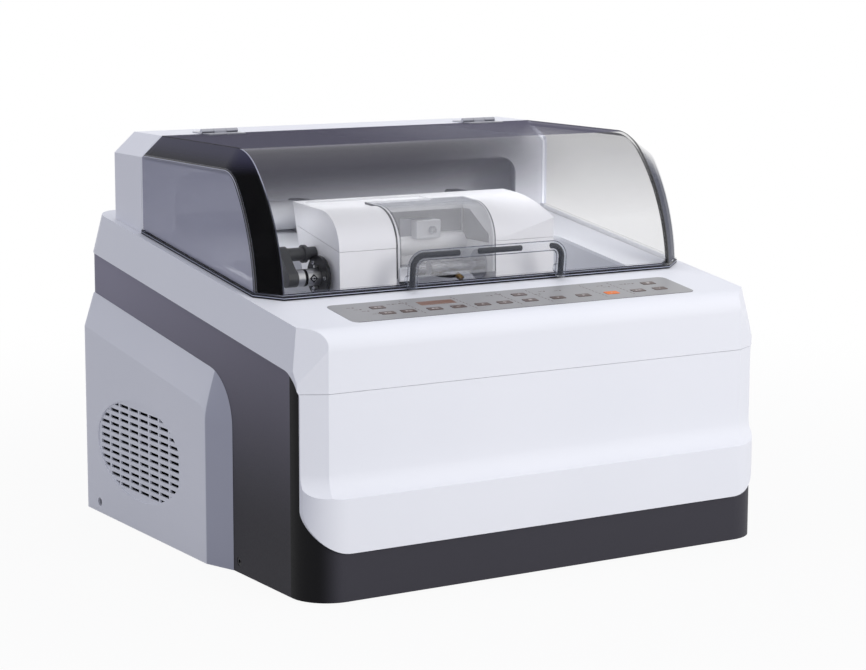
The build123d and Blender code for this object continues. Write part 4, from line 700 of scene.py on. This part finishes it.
def bend_handle_cores():
    """Dark cores inside the clear handle: legs and bends, and a run in the middle of the bar."""
    lean, half, bend, tall, radius, clear = math.radians(6.0), 92.6, 13.0, 34.3, 3.1, 1.5
    leg = Vector((0, -math.sin(lean), math.cos(lean)))
    foot_y, foot_z = -140.3, deck_z(-133.0) + 2.8
    for side, run, name in ((-1, 42.0, "handle_core_left"), (1, 1.5, "handle_core_right")):
        foot = Vector((-3.0 + side * half, foot_y, foot_z))
        alone()
        bpy.ops.mesh.primitive_circle_add(vertices=20, radius=radius * MM,
                                          location=(foot + leg * clear) * MM,
                                          rotation=leg.to_track_quat("Z", "Y").to_euler())
        core = start(name)
        bpy.ops.object.mode_set(mode="EDIT")
        bpy.ops.mesh.select_all(action="SELECT")
        rise = leg * (tall - bend - clear) * MM
        bpy.ops.mesh.extrude_region_move(TRANSFORM_OT_translate={"value": rise})
        centre = foot + leg * (tall - bend) + Vector((-side * bend, 0, 0))
        axis = leg.cross(Vector((side, 0, 0)))
        bpy.ops.mesh.spin(steps=12, angle=math.pi / 2, center=centre * MM, axis=axis)
        bpy.ops.mesh.extrude_region_move(TRANSFORM_OT_translate={"value": (-side * run * MM, 0, 0)})
        bpy.ops.mesh.select_all(action="SELECT")
        bpy.ops.mesh.remove_doubles(threshold=0.00001)
        bpy.ops.mesh.fill_holes(sides=0)
        bpy.ops.mesh.normals_make_consistent(inside=False)
        bpy.ops.object.mode_set(mode="OBJECT")
        set_finish(core, "core", "lid")
    top = Vector((0, foot_y, foot_z)) + leg * tall
    middle = bar("handle_core_middle", radius, (-16.0, top.y, top.z), (37.0, top.y, top.z), 20)
    set_finish(middle, "core", "lid", 0.6)


# From here on the heights are above the table, with the feet under the housing
def fit_bay():
    """Inside the head's bay: grey sheets on its back and right walls, painted shade, a bent
    bracket, a switch box with its boss, the foot at the guard's left, and the water jet with its
    nozzle."""
    # Grey sheets on the bay's back and right walls stand for the shade there: painted shade
    shade_sheet = slab("bay_shade_sheet", (-84.0, -33.0, 328.0), (33.0, -32.2, 352.5))
    recess(shade_sheet, looks_front, 1.5, 0.3)
    set_finish(shade_sheet, "shade_sheet", "head", 0.2)
    cheek = slab("bay_shade_sheet_right", (34.2, -84.0, 319.5), (35.0, -33.2, 352.5))
    pick(cheek, lambda middle, normal: True)
    bpy.ops.mesh.bisect(plane_co=(0, -46.0 * MM, 352.5 * MM), plane_no=(0, -0.62, 1.0),
                        use_fill=True, clear_outer=True)
    bpy.ops.object.mode_set(mode="OBJECT")
    set_finish(cheek, "shade_sheet", "head", 0.2)
    bracket = slab("bay_bracket", (-46.0, -34.3, 320.5), (-10.0, -33.0, 345.5))
    pick(bracket, lambda middle, normal: normal.z > 0.9)
    draw_out(0.01)
    pick(bracket, lambda middle, normal: looks_front(middle, normal) and middle.z > 345.4)
    draw_out(9.0)
    set_finish(bracket, "plate", "head", 0.3)
    box = slab("bay_switch_box", (-32.0, -46.0, 323.5), (-2.0, -34.3, 343.0))
    recess(box, looks_front, 1.6, 0.8)
    set_finish(box, "casing", "head", 1.2, 3)
    boss = bar("bay_boss", 4.2, (-13.0, -45.0, 332.5), (-13.0, -49.5, 332.5))
    recess(boss, looks_front, 1.1, 1.6)
    set_finish(boss, "steel", "head", 0.4)
    lug = slab("guard_foot", (-86.0, -100.2, 287.5), (-73.0, -97.2, 302.0))
    recess(lug, looks_front, 2.0, 0.6)
    set_finish(lug, "casing", "head", 0.5)
    pad = slab("guard_foot_pad", (-85.0, -100.0, 285.0), (-74.0, -97.0, 288.0))
    pick(pad, lambda middle, normal: normal.z < -0.9)
    bpy.ops.mesh.inset(thickness=0.8 * MM)
    draw_out(1.2)
    set_finish(pad, "pad", "head", 0.3)
    jet = slab("water_jet", (-12.0, -60.0, 282.5), (-1.0, -33.0, 286.0))
    pick(jet, looks_front)
    reach = (6 * MM, -14 * MM, 0.5 * MM)
    bpy.ops.mesh.extrude_region_move(TRANSFORM_OT_translate={"value": reach})
    bpy.ops.object.mode_set(mode="OBJECT")
    set_finish(jet, "black", "head", 0.5)
    nozzle = bar("water_nozzle", 3.2, (1.0, -74.0, 286.5), (4.0, -80.0, 282.0), 20)
    recess(nozzle, lambda middle, normal: normal.y < -0.6, 0.9, 1.5)
    set_finish(nozzle, "brass", "head", 0.3)


def fit_pattern_side():
    """Set screw in its diamond seat on the coupling, and screws in the flange."""
    alone()
    bpy.ops.mesh.primitive_cylinder_add(vertices=4, radius=4.6 * MM, depth=1.2 * MM,
                                        location=(-174.5 * MM, -75.1 * MM, SHAFT_Z * MM),
                                        rotation=(math.radians(90), 0, 0))
    seat = start("coupling_seat")
    recess(seat, looks_front, 0.9, 0.4)
    set_finish(seat, "oxide", "lens_left", 0.25)
    screw = socket_screw("coupling_screw", 2.3, 0.9)
    twin = copy_to(screw, "coupling_set_screw", (-174.5, -75.2, SHAFT_Z), 90, "X")
    set_finish(twin, "steel", "lens_left", 0.15)
    ring = 16.5
    for number, turn in enumerate((60, 180, 300)):
        angle = math.radians(turn)
        place = (-165.5, SHAFT_Y + ring * math.cos(angle), SHAFT_Z + ring * math.sin(angle))
        twin = copy_to(screw, "flange_screw_%d" % number, place, -90, "Y")
        set_finish(twin, "steel", "lens_left", 0.15)
    bpy.data.objects.remove(screw)


def fit_screws():
    """Screws that hold the side covers."""
    model = socket_screw("model_screw", 4.6, 1.6)
    rear, front = (281.3, 213.0), (277.6, -105.0)
    for name, side, (depth, y) in (("left_rear", -1, rear), ("left_front", -1, front),
                                   ("right_rear", 1, rear), ("right_front", 1, front)):
        twin = copy_to(model, "side_screw_" + name, (side * depth, y, 14.5), 90 * side, "Y")
        set_finish(twin, "oxide", "housing", 0.3)
    bpy.data.objects.remove(model)


def fit_rear():
    """Screws round the rear panel and the fan, and the earth stud by the mains inlet."""
    model = socket_screw("model_screw", 3.4, 1.5)
    places = [(x, z) for x in (-194.0, -65.0, 65.0, 194.0) for z in (22.5, 192.5)]
    for number, (x, z) in enumerate(places):
        twin = copy_to(model, "panel_screw_%d" % number, (x, 257.5, z), -90, "X")
        set_finish(twin, "oxide", "housing", 0.3)
    fan_x, fan_z, pitch = -120.0, 112.5, 71.5
    for number, (x, z) in enumerate(((-1, -1), (1, -1), (-1, 1), (1, 1))):
        place = (fan_x + x * pitch / 2, 242.8, fan_z + z * pitch / 2)
        twin = copy_to(model, "fan_screw_%d" % number, place, -90, "X")
        set_finish(twin, "steel", "housing", 0.3)
    bpy.data.objects.remove(model)
    stud = bar("earth_stud", 2.0, (78.0, 242.0, 72.5), (78.0, 252.0, 72.5), 20)
    recess(stud, looks_back, 0.5, 0.2)
    nut = bar("earth_nut", 4.0, (78.0, 242.8, 72.5), (78.0, 246.0, 72.5), 6)
    recess(nut, looks_back, 1.2, 0.3)
    set_finish(stud, "steel", "housing", 0.2)
    set_finish(nut, "brass", "housing", 0.3)


def seen_rays(new):
    """1 for rays that come from the camera, a mirror or through glass, and else 0."""
    path = new("LightPath")
    sharp = new("Math", {0: path.outputs["Is Camera Ray"], 1: path.outputs["Is Glossy Ray"]},
                operation="MAXIMUM")
    return new("Math", {0: sharp, 1: path.outputs["Is Transmission Ray"]}, operation="MAXIMUM")


# Area lamps: place, size and metres aimed at, watts and colour; those in the cabin are oblong
MACHINE, PLAIN, COOL = (0, 0, 0.25), (1.0, 1.0, 1.0), (0.97, 0.98, 1.0)
STUDIO = (("key", (0.8, -2.9, 1.3), 1.6, MACHINE, 50.0, (1.0, 0.985, 0.945)),
          ("top", (0.0, 0.2, 2.8), 1.8, MACHINE, 9.5, PLAIN),
          ("back", (1.4, 2.4, 1.8), 1.4, MACHINE, 8.0, PLAIN),
          ("cabin", (0.0, -0.01, 0.414), 0.42, (0.0, 0.01, 0.28), 0.40, COOL),
          ("cabin_left", (-0.238, -0.03, 0.340), 0.05, (-0.157, -0.03, 0.335), 0.04, COOL))


def set_studio():
    """Pale floor that melts into a white background, and soft plain light."""
    bpy.ops.mesh.primitive_circle_add(vertices=96, radius=9, fill_type="NGON",
                                      location=(0, 0, -0.0002))
    floor = bpy.context.object
    floor.name = "floor"
    material, new = new_material("studio_floor")
    place = new("TexCoord").outputs["Object"]
    reach = new("VectorMath", {0: place}, operation="LENGTH")
    fade = new("MapRange", {"Value": reach, "From Min": 0.3, "From Max": 1.6, "To Min": 0.94,
                            "To Max": 1.0}, interpolation_type="SMOOTHSTEP")
    matt = new("BsdfDiffuse", {"Color": "#B4B4B8"})
    white = new("Emission", {"Color": "#FFFFFF", "Strength": 1.0})
    share = new("Math", {0: seen_rays(new), 1: fade}, operation="MULTIPLY")
    mix = new("MixShader", {0: share, 1: matt, 2: white})
    new("OutputMaterial", {0: mix})
    floor.data.materials.append(material)
    world = bpy.data.worlds.new("studio")
    bpy.context.scene.world = world
    world.use_nodes = True
    world.node_tree.nodes.clear()
    new = partial(add_node, world.node_tree)
    sky = new("Mix", {"Factor": seen_rays(new), 6: (0.55, 0.56, 0.635, 1), 7: "#FFFFFF"},
              data_type="RGBA")
    light = new("Background", {"Color": sky, "Strength": 1.0})
    new("OutputWorld", {"Surface": light})
    for name, place, size, aim, power, tone in STUDIO:
        data = bpy.data.lights.new(name, "AREA")
        data.shape, data.size, data.energy, data.color = "DISK", size, power, tone
        if name.startswith("cabin"):
            data.shape, data.size_y = "RECTANGLE", 0.12
        lamp = bpy.data.objects.new(name, data)
        lamp.location = place
        lamp.rotation_euler = (Vector(aim) - Vector(place)).to_track_quat("-Z", "Y").to_euler()
        lamp.visible_camera = lamp.visible_glossy = lamp.visible_transmission = False
        bpy.context.scene.collection.objects.link(lamp)
    bpy.context.scene.view_settings.view_transform = "Standard"


set_camera()
set_studio()
dress_nodes()
print_key_marks()
print_pad()
bend_handle_cores()
fit_bay()
fit_pattern_side()
fit_screws()
fit_rear()
